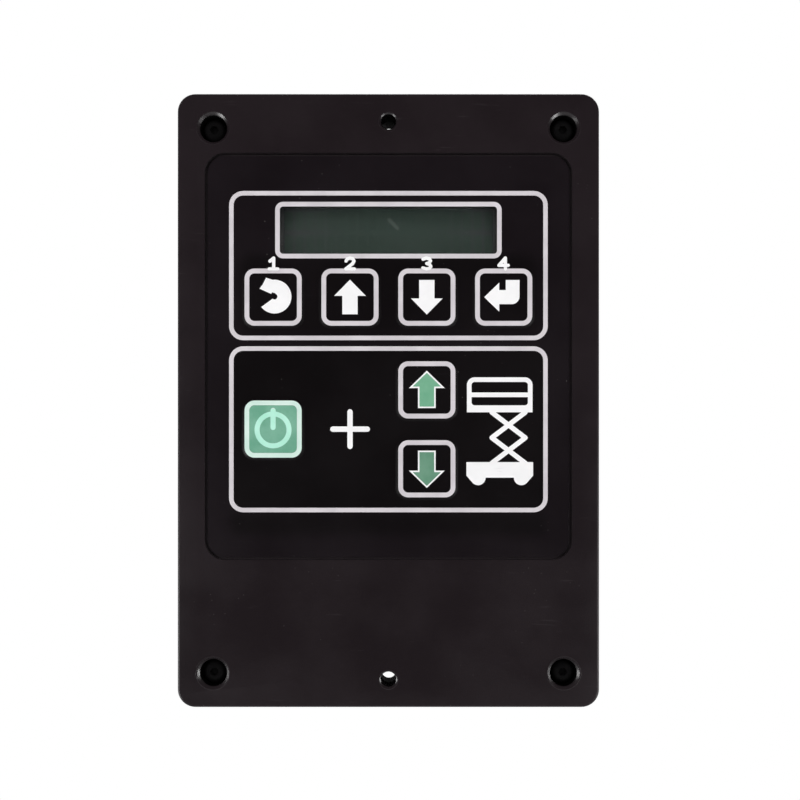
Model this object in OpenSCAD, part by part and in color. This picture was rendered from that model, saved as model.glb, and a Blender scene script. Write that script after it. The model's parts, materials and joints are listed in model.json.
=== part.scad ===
// Ground control panel of a scissor lift: a two-part moulded box that is bolted to the machine's
// panel, with a character display, a membrane keypad of seven keys and two sealed headers behind.
// Drawn face up: x to the right, y up the panel, z towards the operator, with z = 0 on the mounting
// plane. upright() then stands it with +Z up and the operator at -Y.

/* [Face cover] */
// Width of the face cover and of the flange behind it
cover_w = 165; // [155:1:200]
// Height of the face cover and of the flange behind it
cover_h = 240; // [235:1:280]
// Radius of the outer corners
corner_r = 7; // [3:0.5:12]
// Depth of the cover, from its rim to its face
cover_depth = 10; // [9:0.5:14]
// Thickness of the face wall
face_wall = 4.5; // [3.5:0.1:5]
// Thickness of the wall round the edge
side_wall = 3; // [2:0.1:4]
// Rounding of the front edge
edge_round = 1.2; // [0.4:0.1:2]

/* [Keypad] */
// Distance from the cover's sides to the graphic overlay
overlay_side = 11.9; // [11:0.1:14]
// Distance from the cover's top to the graphic overlay
overlay_top = 24.5; // [23:0.1:28]
// Distance from the cover's foot to the graphic overlay
overlay_foot = 58.9; // [50:0.1:62]
// Corner radius of the overlay
overlay_r = 6.6; // [3:0.1:9]
// Groove between the overlay and the edge of its recess
overlay_groove = 1.2; // [0.4:0.1:2]
// Depth of the recess that holds the keypad
recess_depth = 2.4; // [2.2:0.1:3]
// Thickness of the graphic overlay
overlay_t = 0.6; // [0.3:0.05:0.8]
// Thickness of the spacer that leaves room for the domes
spacer_t = 1; // [0.9:0.05:1.2]
// Thickness of the printed circuit film
circuit_t = 0.3; // [0.2:0.05:0.4]
// Thickness of the adhesive sheet under the film
adhesive_t = 0.2; // [0.1:0.05:0.3]
// Thickness of the raised ink
ink_t = 0.1; // [0.05:0.01:0.2]

/* [Keys] */
// Share of the distance between two keys that a key's border takes
key_share = 0.7433; // [0.6:0.0001:0.76]
// Width of a key's printed border
key_border = 1.85; // [1:0.1:2.5]
// Outer corner radius of a key's border
key_r = 3.9; // [2.5:0.1:5]
// Distance from a printed frame's side to the centre of the outer keys
key_side = 17.25; // [16:0.05:20]
// Height of the menu keys above the overlay's centre, as a share of its height
menu_share = 0.1475; // [0.14:0.0005:0.15]
// Height of the raise key above the overlay's centre, as a share of its height
raise_share = -0.0837; // [-0.09:0.0001:-0.075]
// Height of the lower key above the overlay's centre, as a share of its height
lower_share = -0.2803; // [-0.29:0.0001:-0.27]
// Height of the enable key above the overlay's centre, as a share of its height
enable_share = -0.1814; // [-0.24:0.0001:-0.14]
// How far a key travels
key_travel = 0.5; // [0.3:0.05:0.5]
// How far a key stands out of the overlay
key_rise = 0.4; // [0.2:0.05:0.6]
// Diameter of a snap dome
dome_d = 12; // [8:0.5:14]

/* [Display] */
// Distance from a printed frame's side to the clear window
window_side = 19.8; // [18.5:0.1:26]
// Height of the clear window, as a share of the overlay's height
window_h_share = 0.118; // [0.1:0.0001:0.12]
// Height of the display above the overlay's centre, as a share of its height
display_share = 0.3152; // [0.31:0.0001:0.32]
// Distance from the inside of the box to the display's circuit board
display_side = 3; // [2:0.5:5]
// How far the display's circuit board stands out beyond its bezel, at the top and the foot
display_board_edge = 5; // [4.5:0.1:5.5]
// Distance of the display's screws from the edges of its board
display_screw_edge = 4; // [3:0.1:4.5]

/* [Rear housing] */
// Thickness of the flange
flange_t = 6; // [5:0.5:8]
// Distance from the flange's sides to the box behind it
box_side = 18.5; // [17.5:0.5:19.5]
// Distance from the flange's top and foot to the box behind it
box_end = 26; // [25:0.5:28]
// Depth of the box behind the mounting plane
box_depth = 38; // [36:1:60]
// Wall of the box
box_wall = 3; // [2:0.1:3.5]
// Outer corner radius of the box
box_r = 9; // [6:0.5:12]

/* [Fasteners] */
// Distance of the corner screws from the cover's sides
screw_side = 14; // [11.5:0.5:14.5]
// Distance of the corner screws from the cover's top and foot
screw_end = 13.5; // [12:0.5:14.5]
// Diameter of the corner screws
screw_d = 5; // [4:0.5:5]
// Length of the corner screws under the head
screw_length = 8; // [7:0.5:8]
// Diameter of a corner screw's counterbore
counterbore_d = 10.6; // [10:0.1:12]
// Depth of a corner screw's counterbore
counterbore_depth = 5.2; // [4.5:0.1:5.5]
// Width of the chamfer at the counterbore's mouth
counterbore_chamfer = 1; // [0.2:0.1:1.2]
// Distance of the mounting holes from the cover's top and foot
mount_end = 11; // [9:0.5:12]
// Diameter of the mounting holes
mount_d = 6; // [4:0.1:7]
// Width of the chamfer at a mounting hole's mouth
mount_chamfer = 0.5; // [0.2:0.1:0.8]

/* [Circuit board and headers] */
// Distance from the inside of the box to the main board, at the sides
board_side = 5; // [4:0.5:6]
// Distance from the inside of the box to the main board, at the top
board_top = 21; // [18:0.5:24]
// Distance from the inside of the box to the main board, at the foot
board_foot = 11; // [9:0.5:13]
// Depth of the main board's front behind the mounting plane
board_back = 14; // [12:0.5:16]
// Thickness of the main board
board_t = 1.6; // [1:0.1:2]
// Outer height of a header's socket
socket_h = 24; // [22:0.5:26]
// How far a socket stands out of the box
socket_out = 18; // [16:0.5:24]
// Wall of a socket
socket_wall = 2; // [1.5:0.1:2.5]
// Gap between the two headers' flanges
header_gap = 5; // [4:0.5:8]
// Distance from the inside of the box to the headers' flanges
header_edge = 7.5; // [6:0.5:9]
// Height of the headers' centre above the main board's foot
header_up = 28; // [27.5:0.5:30]

/* [Hidden] */
$fn = 48;

overrun = 1;
corner_steps = 10;
round_step = 22.5;
thin_share = 0.05;

// Levels through the stack, from the mounting plane towards the operator
face_z = flange_t + cover_depth;
inner_z = face_z - face_wall;
recess_z = face_z - recess_depth;
circuit_z = recess_z + adhesive_t;
spacer_z = circuit_z + circuit_t;
overlay_z = spacer_z + spacer_t;
overlay_face_z = overlay_z + overlay_t;
key_face_z = overlay_face_z + key_rise;

// Levels through the box, behind the mounting plane
board_z = -board_back;
board_rear_z = board_z - board_t;
box_inner_z = -box_depth + box_wall;
socket_mouth_z = -box_depth - socket_out;

// Graphic overlay
overlay_w = cover_w - 2 * overlay_side;
overlay_h = cover_h - overlay_top - overlay_foot;
overlay_up = (overlay_foot - overlay_top) / 2;

// Corner screws and mounting holes
screw_w = cover_w - 2 * screw_side;
screw_h = cover_h - 2 * screw_end;
mount_h = cover_h - 2 * mount_end;

// Box, and its inside, which is also the opening through the flange
box_w = cover_w - 2 * box_side;
box_h = cover_h - 2 * box_end;
inside_w = box_w - 2 * box_wall;
inside_h = box_h - 2 * box_wall;
inside_r = box_r - box_wall;

// Seal between the cover and the flange, on a line outside the opening
seal_out = 4;
seal_w = 2.4;
seal_slack = 0.1;
seal_depth = 1.8;
seal_rib = 5;
seal_line_w = inside_w + 2 * seal_out;
seal_line_h = inside_h + 2 * seal_out;
seal_line_r = inside_r + seal_out;

// Foam gasket between the flange and the machine's panel
foam_out = 5;
foam_w = 3.6;
foam_depth = 1.2;
foam_line_w = box_w + 2 * foam_out;
foam_line_h = box_h + 2 * foam_out;
foam_line_r = box_r + foam_out;

// Cover bosses, tubes and ribs
boss_wall = 2.6;
boss_gap = 0.2;
seat_t = 2.8;
screw_seat_z = face_z - counterbore_depth;
screw_tube_z = screw_seat_z - seat_t;
screw_clearance = 0.25;
rib_t = 2;
rib_side_share = 0.22;
rib_end_share = 0.26;

// Button head screws and their brass inserts
head_d = 9.5;
head_h = 2.75;
head_flat_share = 0.42;
hex_d = 3.4;
hex_depth = 1.6;
thread_slack = 0.1;
insert_wall = 1;
insert_slack = 0.05;
insert_length = 6;
insert_groove = 0.4;
insert_boss_wall = 1.8;
insert_top_z = screw_tube_z - boss_gap;
insert_r = screw_d / 2 + insert_wall;
insert_hole_r = insert_r + insert_slack;

// Printed frames, in the overlay's ink, and what stands in them
line_w = 1.75;
frame_side = 8.35;
frame_w = overlay_w - 2 * frame_side;
frame_r = 5.5;
upper_frame_h_share = 0.3723;
upper_frame_up_share = 0.2267;
lower_frame_h_share = 0.4141;
lower_frame_up_share = -0.1818;
upper_frame_h = upper_frame_h_share * overlay_h;
upper_frame_up = overlay_up + upper_frame_up_share * overlay_h;
lower_frame_h = lower_frame_h_share * overlay_h;
lower_frame_up = overlay_up + lower_frame_up_share * overlay_h;
window_w = frame_w - 2 * window_side;
window_h = window_h_share * overlay_h;
display_up = overlay_up + display_share * overlay_h;
key_columns = 4;
key_pitch = (frame_w - 2 * key_side) / (key_columns - 1);
menu_up = overlay_up + menu_share * overlay_h;
raise_up = overlay_up + raise_share * overlay_h;
lower_up = overlay_up + lower_share * overlay_h;
enable_up = overlay_up + enable_share * overlay_h;
key_size = key_share * min(key_pitch, raise_up - lower_up);

// Keypad details
key_margin = 0.5;
key_gap = 0.25;
key_tile = key_size + 2 * key_margin;
key_tile_r = key_r + key_margin;
key_opening = key_tile + 2 * key_gap;
key_opening_r = key_tile_r + key_gap;
nib_d = 4;
nib_gap = 0.05;
dome_z = spacer_z;
dome_t = 0.1;
dome_rim = 0.4;
dome_rest = 0.25;
dome_h = key_travel + dome_rest;
dome_steps = 6;
nib_h = overlay_z - dome_z - dome_h - nib_gap;
tail_w = 16;
tail_slot = 3;
tail_slot_margin = 1;
tail_x = 0;
tail_from_foot = 7.1;
tail_up = overlay_up - overlay_h / 2 + tail_from_foot;
tail_bend = 8;
tail_socket_w = 20;
tail_socket_h = 5;
tail_socket_t = 3;
ribbon_steps = 14;

// Where each key sits: menu row, then the enable key and the two lift keys
columns = [for (i = [0:key_columns - 1]) (i - (key_columns - 1) / 2) * key_pitch];
menu_places = [for (x = columns) [x, menu_up]];
enable_place = [columns[0], enable_up];
raise_place = [columns[2], raise_up];
lower_place = [columns[2], lower_up];
key_places = concat(menu_places, [enable_place, raise_place, lower_place]);

// Lines and signs between the keys
display_line_w = 1.8;
display_line_r = 3.1;
digit_h = 5.6;
digit_line_w = 1.3;
plus_place = [columns[1], enable_up];
plus_share = 0.7;
plus_size = plus_share * key_size;
plus_line_w = 2.1;
line_end_sides = 12;

// Digits as strokes, in shares of their height
digit_shares = [
    [[-0.3, 0.22], [0.04, 0.5], [0.04, -0.5], [-0.36, -0.5], [0.42, -0.5]],
    [[-0.36, 0.24], [-0.24, 0.43], [0, 0.5], [0.26, 0.43], [0.36, 0.22], [0.22, -0.02],
        [-0.38, -0.5], [0.4, -0.5]],
    [[-0.34, 0.4], [-0.05, 0.5], [0.26, 0.42], [0.34, 0.24], [0.2, 0.06], [0, 0.01],
        [0.25, -0.08], [0.37, -0.27], [0.25, -0.44], [-0.04, -0.5], [-0.36, -0.4]],
    [[0.16, -0.5], [0.16, 0.5], [-0.42, -0.16], [0.42, -0.16]]
];

// Lift symbol beside the two lift keys, drawn for the key size that it's given here
key_drawn = 22;
symbol_scale = key_size / key_drawn;
lift_column_share = 1.45;
rail_w = 25.3;
rail_top = 20.05;
rail_r = 3;
rail_line_w = 1.8;
rail_mid = 13.3;
deck_top = 9.25;
deck_h = 2.7;
scissor_side = 3.4;
scissor_w = 12.9;
scissor_line_w = 1.85;
scissor_link_h = 9.8;
chassis_w = 25.7;
chassis_top = -12.65;
chassis_h = 6;
chassis_side_h = 5.2;
wheel_r = 2.9;
wheel_spread = 16.7;

// Key symbols
arrow_tip = 6.7;
arrow_neck = 0.5;
arrow_half_w = 6.1;
arrow_shaft_half_w = 2.95;
arrow_tail = 6.6;
lift_arrow_tip = 7.4;
lift_arrow_neck = 0.7;
lift_arrow_half_w = 6.9;
lift_arrow_shaft_half_w = 3.4;
lift_arrow_tail = 7;
lift_arrow_line_w = 0.6;
ink_gap = 0.05;
escape_r = 6.5;
escape_right = 0.55;
escape_up = 0.2;
escape_hole_share = 0.17;
escape_wedge_shares = [[0.05, 0.2], [-0.84, 0.45], [-1.5, 0.5], [-1.5, -0.9], [-0.84, -0.66], [0.05, 0]];
escape_head_shares = [[-0.5, 1.12], [-0.84, 0.45], [-0.2, 0.16], [0.2, 0.9]];
enter_tip = 7.5;
enter_head_x = -1.7;
enter_head_half = 5.6;
enter_shaft_half = 2.7;
enter_right = 6.1;
enter_stub_left = 0.8;
enter_top = 6.6;
enter_r = 3;
standby_r = 6.15;
standby_line_w = 1.95;
standby_bar_top = 8.2;
standby_bar_w = 2;
standby_down = 0.3;
standby_bar_foot = 0.6;

// Display module, from the window back
window_slack = 0.1;
window_lip = 3;
window_lip_slack = 0.3;
aperture_margin = 1.5;
window_gasket_t = 0.5;
window_gasket_w = 2.6;
bezel_side = 6.55;
bezel_end = 4.45;
bezel_w = window_w + 2 * bezel_side;
bezel_h = window_h + 2 * bezel_end;
bezel_wall = 0.6;
bezel_lip = 0.75;
bezel_view_w = window_w - 2 * bezel_lip;
bezel_view_h = window_h + bezel_lip;
display_board_w = inside_w - 2 * display_side;
display_board_h = bezel_h + 2 * display_board_edge;
display_screw_w = display_board_w - 2 * display_screw_edge;
display_screw_h = display_board_h - 2 * display_screw_edge;
bezel_front_z = inner_z - window_gasket_t;
display_board_z = 5.2;
display_board_t = 1.6;
display_board_rear_z = display_board_z - display_board_t;
display_fit = 0.15;
display_glass_t = 2.2;
display_screw_d = 2.5;
display_screw_length = 5;
display_screw_head_d = 5;
display_screw_head_h = 1.8;
display_post_d = 6.6;
display_chip_d = 11;
display_chip_h = 1.6;
display_chip_side = 24;
display_socket_w = 42;
display_socket_h = 4;
display_socket_t = 2.6;
display_socket_edge = 3.4;
display_socket_up = display_up - display_board_h / 2 + display_socket_edge;
ribbon_w = 38;
ribbon_t = 0.5;
ribbon_drop = 8;
pilot_slack = 0.05;
shank_slack = 0.1;

// Main board and its fixings
board_w = inside_w - 2 * board_side;
board_h = inside_h - board_top - board_foot;
board_up = (board_foot - board_top) / 2;
post_d = 8;
board_screw_d = 3;
board_screw_length = 8;
board_screw_head_d = 5.5;
board_screw_head_h = 2;
board_edge = 6;
board_middle_up = 15;
board_r = 2;
board_screw_places = [
    for (x = [-1, 1])
        for (y = [board_h / 2 - board_edge, board_middle_up, board_edge - board_h / 2])
            [x * (board_w / 2 - board_edge), board_up + y]
];

// Headers' places: both stand on the main board and go through the back of the box
header_base_w = (inside_w - header_gap) / 2 - header_edge;
header_lip = 4.5;
header_base_h = socket_h + 2 * header_lip;
header_side = (header_base_w + header_gap) / 2;
header_down = board_h / 2 - board_up - header_up;
socket_w = header_base_w - 2 * header_lip;

// Parts on the board, drawn for a field of this size between the headers and the board's top
field_drawn_w = 112;
field_drawn_h = 105.5;
field_foot = header_base_h / 2 - header_down;
field_h = board_up + board_h / 2 - field_foot;
field_scale_w = board_w / field_drawn_w;
field_scale_h = field_h / field_drawn_h;
round_scale = (field_scale_w + field_scale_h) / 2;
processor_size = 16;
processor_h = 1.5;
processor_up = 61.5;
processor_leads = 12;
lead_w = 0.5;
lead_out = 1.4;
lead_t = 0.4;
chip_w = 10;
chip_h = 6;
chip_t = 1.8;
chip_rows = 3;
chip_rows_up = 49.5;
chip_row_pitch = 16;
chip_side = 30;
transistor_w = 9;
transistor_h = 9;
transistor_t = 4.2;
transistor_tab = 2;
transistor_tab_t = 1.2;
transistor_count = 8;
transistor_pitch = 12;
transistor_up = 8;
relay_w = 19;
relay_h = 15.5;
relay_gap = 4;
relay_t = board_rear_z - box_inner_z - relay_gap;
relay_shares = [-0.339, -0.134];
relay_up = 23.5;
relay_edge = 1;
capacitor_drawn_d = 12.5;
capacitor_d = capacitor_drawn_d * round_scale;
capacitor_gap = 3.4;
capacitor_t = board_rear_z - box_inner_z - capacitor_gap;
capacitor_shares = [0.0714, 0.2054, 0.339];
capacitor_bead = 0.5;
inductor_drawn_d = 13;
inductor_d = inductor_drawn_d * round_scale;
inductor_t = 8;
inductor_flange = 1.4;
inductor_core_share = 0.72;
inductor_right = 10;
inductor_up = 92;

// Headers through the back of the box
header_flange_t = 3;
header_seal_t = 1;
header_seal_w = 3;
header_opening_gap = 0.6;
header_r = 3;
pin_d = 1.5;
pin_slack = 0.1;
pin_edge = 5.25;
pin_row_pitch = 6.6;
pin_columns = 6;
pin_pitch = (socket_w - 2 * (socket_wall + pin_edge)) / (pin_columns - 1);
pin_out = 11;
pin_solder = 1.2;
socket_floor_t = 2;
latch_w = 12;
latch_t = 2;
latch_length = 4;
key_rib_w = 3;
key_rib_t = 1.5;
header_places = [[-header_side, -header_down], [header_side, -header_down]];
header_flange_z = box_inner_z + header_seal_t;
socket_floor_z = header_flange_z - socket_floor_t;
carrier_slack = 0.05;

// Box edge, vent in the back wall, ribs and the bare label field
box_round = 2.5;
vent_d = 12;
vent_h = 3;
vent_stem_d = 7;
vent_slack = 0.1;
vent_from_top = 23;
vent_up = inside_h / 2 - vent_from_top;
vent_slot_w = 1.2;
vent_slots = 3;
back_rib_h = 1.2;
back_rib_w = 3;
back_rib_r = 1.2;
label_side = 29;
label_h_share = 0.213;
label_w = box_w - 2 * label_side;
label_h = label_h_share * box_h;
label_under_vent = 46;
label_up = vent_up - label_under_vent;
label_depth = 0.6;

// Shapes shared by several pieces

function arc_points(x, y, r, from) = [
    for (i = [0:corner_steps])
        let (a = from + 90 * i / corner_steps)
            [x + r * cos(a), y + r * sin(a)]
];

function rounded_points(w, h, r) = concat(
    arc_points(w / 2 - r, h / 2 - r, r, 0),
    arc_points(r - w / 2, h / 2 - r, r, 90),
    arc_points(r - w / 2, r - h / 2, r, 180),
    arc_points(w / 2 - r, r - h / 2, r, 270)
);

// Both edges of a thin strip that follows a path, as one outline
function strip_side(path, half) = [
    for (i = [0:len(path) - 1])
        let (
            before = path[max(i - 1, 0)],
            after = path[min(i + 1, len(path) - 1)],
            run = (after - before) / norm(after - before)
        )
            path[i] + half * [-run[1], run[0]]
];

function reversed(points) = [for (i = [len(points) - 1:-1:0]) points[i]];

// A path from one height and level to another, square to the boards at both ends
function s_path(up_a, z_a, up_b, z_b) = [
    for (i = [0:ribbon_steps])
        let (t = i / ribbon_steps)
            [up_a + (up_b - up_a) * (3 * t * t - 2 * t * t * t), z_a + (z_b - z_a) * t]
];

module upright() {
    rotate([90, 0, 0]) children();
}

module layer(low, high) {
    translate([0, 0, low]) linear_extrude(high - low) children();
}

module rounded_rect(w, h, r) {
    polygon(rounded_points(w, h, r));
}

module rounded_ring(w, h, r, line) {
    difference() {
        rounded_rect(w, h, r);
        rounded_rect(w - 2 * line, h - 2 * line, max(r - line, line / 4));
    }
}

// A line of even width along a closed rounded rectangle, given at its middle
module seal_path(w, h, r, line) {
    rounded_ring(w + line, h + line, r + line / 2, line);
}

// A plate whose edge at its high face is rounded
module rounded_slab(w, h, r, low, high, edge) {
    thin = edge * thin_share;
    hull() {
        layer(low, high - edge) rounded_rect(w, h, r);
        for (a = [round_step:round_step:90])
            let (inset = edge * (1 - cos(a)), top = high - edge + edge * sin(a))
                layer(top - thin, top) rounded_rect(w - 2 * inset, h - 2 * inset, r - inset);
    }
}

module at_screws() {
    for (x = [-screw_w / 2, screw_w / 2])
        for (y = [-screw_h / 2, screw_h / 2])
            translate([x, y, 0]) children();
}

module at_mounts() {
    for (y = [-mount_h / 2, mount_h / 2])
        translate([0, y, 0]) children();
}

module at_keys() {
    for (place = key_places)
        translate([place[0], place[1], 0]) children();
}

module at_display_screws() {
    for (x = [-display_screw_w / 2, display_screw_w / 2])
        for (y = [-display_screw_h / 2, display_screw_h / 2])
            translate([x, display_up + y, 0]) children();
}

module at_board_screws() {
    for (place = board_screw_places)
        translate([place[0], place[1], 0]) children();
}

module at_headers() {
    for (place = header_places)
        translate([place[0], place[1], 0]) children();
}

module post(d, low, high) {
    translate([0, 0, low]) cylinder(d = d, h = high - low);
}

// Widens a hole's mouth in the cover's face
module mouth_chamfer(d, chamfer) {
    translate([0, 0, face_z - chamfer])
        cylinder(r1 = d / 2, r2 = d / 2 + chamfer + overrun, h = chamfer + overrun);
}

module strip(path, t, w) {
    translate([-w / 2, 0, 0])
        rotate([90, 0, 90])
            linear_extrude(w)
                polygon(concat(strip_side(path, t / 2), reversed(strip_side(path, -t / 2))));
}

// A printed line with blunt round ends from one point to another
module stroke(a, b, line) {
    run = b - a;
    translate(a) {
        rotate(atan2(run[1], run[0])) translate([0, -line / 2]) square([norm(run), line]);
        circle(d = line, $fn = line_end_sides);
    }
    translate(b) circle(d = line, $fn = line_end_sides);
}

module strokes(points, line) {
    for (i = [1:len(points) - 1])
        stroke(points[i - 1], points[i], line);
}

// Pieces of the box

module face_cover() {
    color([0.13, 0.12, 0.13])
        upright()
            difference() {
                union() {
                    difference() {
                        rounded_slab(cover_w, cover_h, corner_r, flange_t, face_z, edge_round);
                        layer(flange_t - overrun, inner_z)
                            rounded_rect(cover_w - 2 * side_wall, cover_h - 2 * side_wall,
                                corner_r - side_wall);
                    }
                    layer(flange_t, inner_z)
                        seal_path(seal_line_w, seal_line_h, seal_line_r, seal_rib);
                    at_screws() post(counterbore_d + 2 * boss_wall, screw_tube_z, inner_z);
                    at_mounts() post(mount_d + 2 * boss_wall, flange_t, inner_z);
                    at_display_screws() post(display_post_d, display_board_z, inner_z);
                    cover_ribs();
                }
                layer(recess_z, face_z + overrun)
                    translate([0, overlay_up])
                        rounded_rect(overlay_w + 2 * overlay_groove, overlay_h + 2 * overlay_groove,
                            overlay_r + overlay_groove);
                layer(inner_z - overrun, face_z)
                    translate([0, display_up])
                        rounded_rect(window_w + 2 * aperture_margin, window_h + 2 * aperture_margin,
                            aperture_margin);
                tail_opening(inner_z - overrun, face_z);
                at_screws() {
                    post(counterbore_d, screw_seat_z, face_z + overrun);
                    post(screw_d + 2 * screw_clearance, screw_tube_z - overrun, face_z);
                    mouth_chamfer(counterbore_d, counterbore_chamfer);
                }
                at_mounts() {
                    post(mount_d, flange_t - overrun, face_z + overrun);
                    mouth_chamfer(mount_d, mount_chamfer);
                }
                at_display_screws()
                    post(display_screw_d - 2 * pilot_slack, display_board_z - overrun,
                        display_board_rear_z + display_screw_length + overrun);
            }
}

// Ribs inside the cover, between the seal's rib and the edge wall
module cover_ribs() {
    side_run = (cover_w - seal_line_w) / 2 - side_wall;
    end_run = (cover_h - seal_line_h) / 2 - side_wall;
    for (s = [-1, 1])
        for (t = [-1, 1]) {
            layer(flange_t, inner_z)
                translate([s * (seal_line_w / 2 + side_run / 2), t * rib_side_share * cover_h])
                    square([side_run + side_wall, rib_t], center = true);
            layer(flange_t, inner_z)
                translate([t * rib_end_share * cover_w, s * (seal_line_h / 2 + end_run / 2)])
                    square([rib_t, end_run + side_wall], center = true);
        }
}

module rear_housing() {
    color([0.15, 0.15, 0.16])
        upright() {
            difference() {
                union() {
                    layer(0, flange_t) rounded_rect(cover_w, cover_h, corner_r);
                    mirror([0, 0, 1])
                        rounded_slab(box_w, box_h, box_r, -flange_t / 2, box_depth, box_round);
                    at_screws() post(2 * (insert_hole_r + insert_boss_wall), flange_t / 2, insert_top_z);
                    back_ribs();
                }
                layer(box_inner_z, flange_t + overrun) rounded_rect(inside_w, inside_h, inside_r);
                layer(flange_t - seal_depth, flange_t + overrun)
                    seal_path(seal_line_w, seal_line_h, seal_line_r, seal_w);
                layer(-overrun, foam_depth)
                    seal_path(foam_line_w, foam_line_h, foam_line_r, foam_w);
                at_screws() post(2 * insert_hole_r, insert_top_z - insert_length, insert_top_z + overrun);
                at_mounts() post(mount_d, -overrun, flange_t + overrun);
                at_headers()
                    layer(-box_depth - overrun, box_inner_z + overrun)
                        rounded_rect(socket_w + header_opening_gap, socket_h + header_opening_gap, header_r);
                translate([0, vent_up, 0])
                    post(vent_stem_d + 2 * vent_slack, -box_depth - overrun, box_inner_z + overrun);
                translate([0, label_up, 0])
                    layer(-box_depth - overrun, -box_depth + label_depth)
                        rounded_rect(label_w, label_h, header_r);
            }
            difference() {
                at_board_screws() post(post_d, box_inner_z - box_wall / 2, board_rear_z);
                at_board_screws()
                    post(board_screw_d, board_z - board_screw_length - overrun, board_rear_z + overrun);
            }
        }
}

// Low ribs on the outside of the back wall, on both sides of the headers
module back_ribs() {
    for (s = [-1, 1])
        translate([s * (box_w / 2 - box_r - back_rib_w), 0, 0])
            layer(-box_depth - back_rib_h, box_inner_z)
                translate([0, label_up])
                    rounded_rect(back_rib_w, box_h / 2, back_rib_r);
}

module housing_gasket() {
    color([0.2, 0.2, 0.21])
        upright()
            layer(flange_t - seal_depth, flange_t)
                seal_path(seal_line_w, seal_line_h, seal_line_r, seal_w - 2 * seal_slack);
}

module panel_gasket() {
    color([0.1, 0.1, 0.1])
        upright()
            layer(0, foam_depth)
                seal_path(foam_line_w, foam_line_h, foam_line_r, foam_w - 2 * seal_slack);
}

module vent_plug() {
    color([0.25, 0.25, 0.27])
        upright()
            translate([0, vent_up, 0])
                difference() {
                    union() {
                        post(vent_stem_d, -box_depth - vent_h / 2, box_inner_z + vent_slot_w);
                        post(vent_d, -box_depth - vent_h, -box_depth);
                    }
                    for (i = [0:vent_slots - 1])
                        rotate(180 * i / vent_slots)
                            layer(-box_depth - vent_slot_w, -box_depth - vent_slot_w / 2)
                                square([vent_d + overrun, vent_slot_w], center = true);
                }
}

// Fasteners

module corner_screws() {
    color([0.08, 0.08, 0.09])
        upright()
            at_screws()
                difference() {
                    union() {
                        rotate_extrude()
                            polygon(concat([[0, screw_seat_z]],
                                [for (a = [90:-round_step:0])
                                    [head_d / 2 * (head_flat_share + (1 - head_flat_share) * sin(a)),
                                        screw_seat_z + head_h * cos(a)]],
                                [[0, screw_seat_z + head_h]]));
                        post(screw_d - 2 * thread_slack, screw_seat_z - screw_length,
                            screw_seat_z + head_h / 2);
                    }
                    translate([0, 0, screw_seat_z + head_h - hex_depth])
                        cylinder(d = hex_d, h = hex_depth + overrun, $fn = 6);
                }
}

module threaded_inserts() {
    color("gold")
        upright()
            at_screws()
                difference() {
                    post(2 * insert_r, insert_top_z - insert_length, insert_top_z);
                    post(screw_d, insert_top_z - insert_length - overrun, insert_top_z + overrun);
                    translate([0, 0, insert_top_z - (insert_length + insert_groove) / 2])
                        difference() {
                            cylinder(r = insert_r + overrun, h = insert_groove);
                            cylinder(r = insert_r - insert_groove, h = insert_groove);
                        }
                }
}

module board_screws() {
    color("silver")
        upright()
            at_board_screws()
                pan_screw(board_screw_d, board_screw_length, board_screw_head_d,
                    board_screw_head_h, board_z, 1);
}

module display_screws() {
    color("silver")
        upright()
            at_display_screws()
                pan_screw(display_screw_d, display_screw_length, display_screw_head_d,
                    display_screw_head_h, display_board_rear_z, -1);
}

// A pan head screw with a cross recess; its head lies on the side that way gives
module pan_screw(d, length, head, head_t, seat, way) {
    translate([0, 0, seat])
        mirror([0, 0, way < 0 ? 1 : 0])
            difference() {
                union() {
                    post(head, 0, head_t);
                    post(d - 2 * shank_slack, -length, head_t / 2);
                }
                for (turn = [0, 90])
                    rotate(turn)
                        layer(head_t / 2, head_t + overrun)
                            square([head / 2, head / 8], center = true);
            }
}

// Layers of the keypad

module keypad_outline() {
    translate([0, overlay_up]) rounded_rect(overlay_w, overlay_h, overlay_r);
}

module key_openings() {
    at_keys() rounded_rect(key_opening, key_opening, key_opening_r);
}

module window_lip_opening() {
    translate([0, display_up])
        rounded_rect(window_w + 2 * (window_lip + window_lip_slack),
            window_h + 2 * (window_lip + window_lip_slack), window_lip);
}

module tail_opening(low, high) {
    layer(low, high)
        translate([tail_x, tail_up])
            square([tail_w + 2 * tail_slot_margin, tail_slot], center = true);
}

module graphic_overlay() {
    color([0.1, 0.09, 0.1])
        upright()
            layer(overlay_z, overlay_face_z)
                difference() {
                    keypad_outline();
                    key_openings();
                    translate([0, display_up])
                        rounded_rect(window_w, window_h, display_line_r - display_line_w);
                }
}

module keypad_spacer() {
    color([0.75, 0.75, 0.72])
        upright()
            layer(spacer_z, overlay_z)
                difference() {
                    keypad_outline();
                    key_openings();
                    window_lip_opening();
                }
}

module keypad_circuit() {
    color([0.8, 0.8, 0.7])
        upright() {
            layer(circuit_z, spacer_z)
                difference() {
                    keypad_outline();
                    window_lip_opening();
                }
            translate([tail_x, 0, 0])
                strip(s_path(tail_up, circuit_z + circuit_t / 2, tail_up + tail_bend,
                    board_z + tail_socket_t), circuit_t, tail_w);
        }
}

module keypad_adhesive() {
    color([0.85, 0.83, 0.75])
        upright()
            difference() {
                layer(recess_z, circuit_z)
                    difference() {
                        keypad_outline();
                        window_lip_opening();
                    }
                tail_opening(recess_z - overrun, circuit_z + overrun);
            }
}

module keypad_socket() {
    color([0.9, 0.88, 0.8])
        upright()
            translate([tail_x, tail_up + tail_bend, 0])
                layer(board_z, board_z + tail_socket_t)
                    square([tail_socket_w, tail_socket_h], center = true);
}

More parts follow.
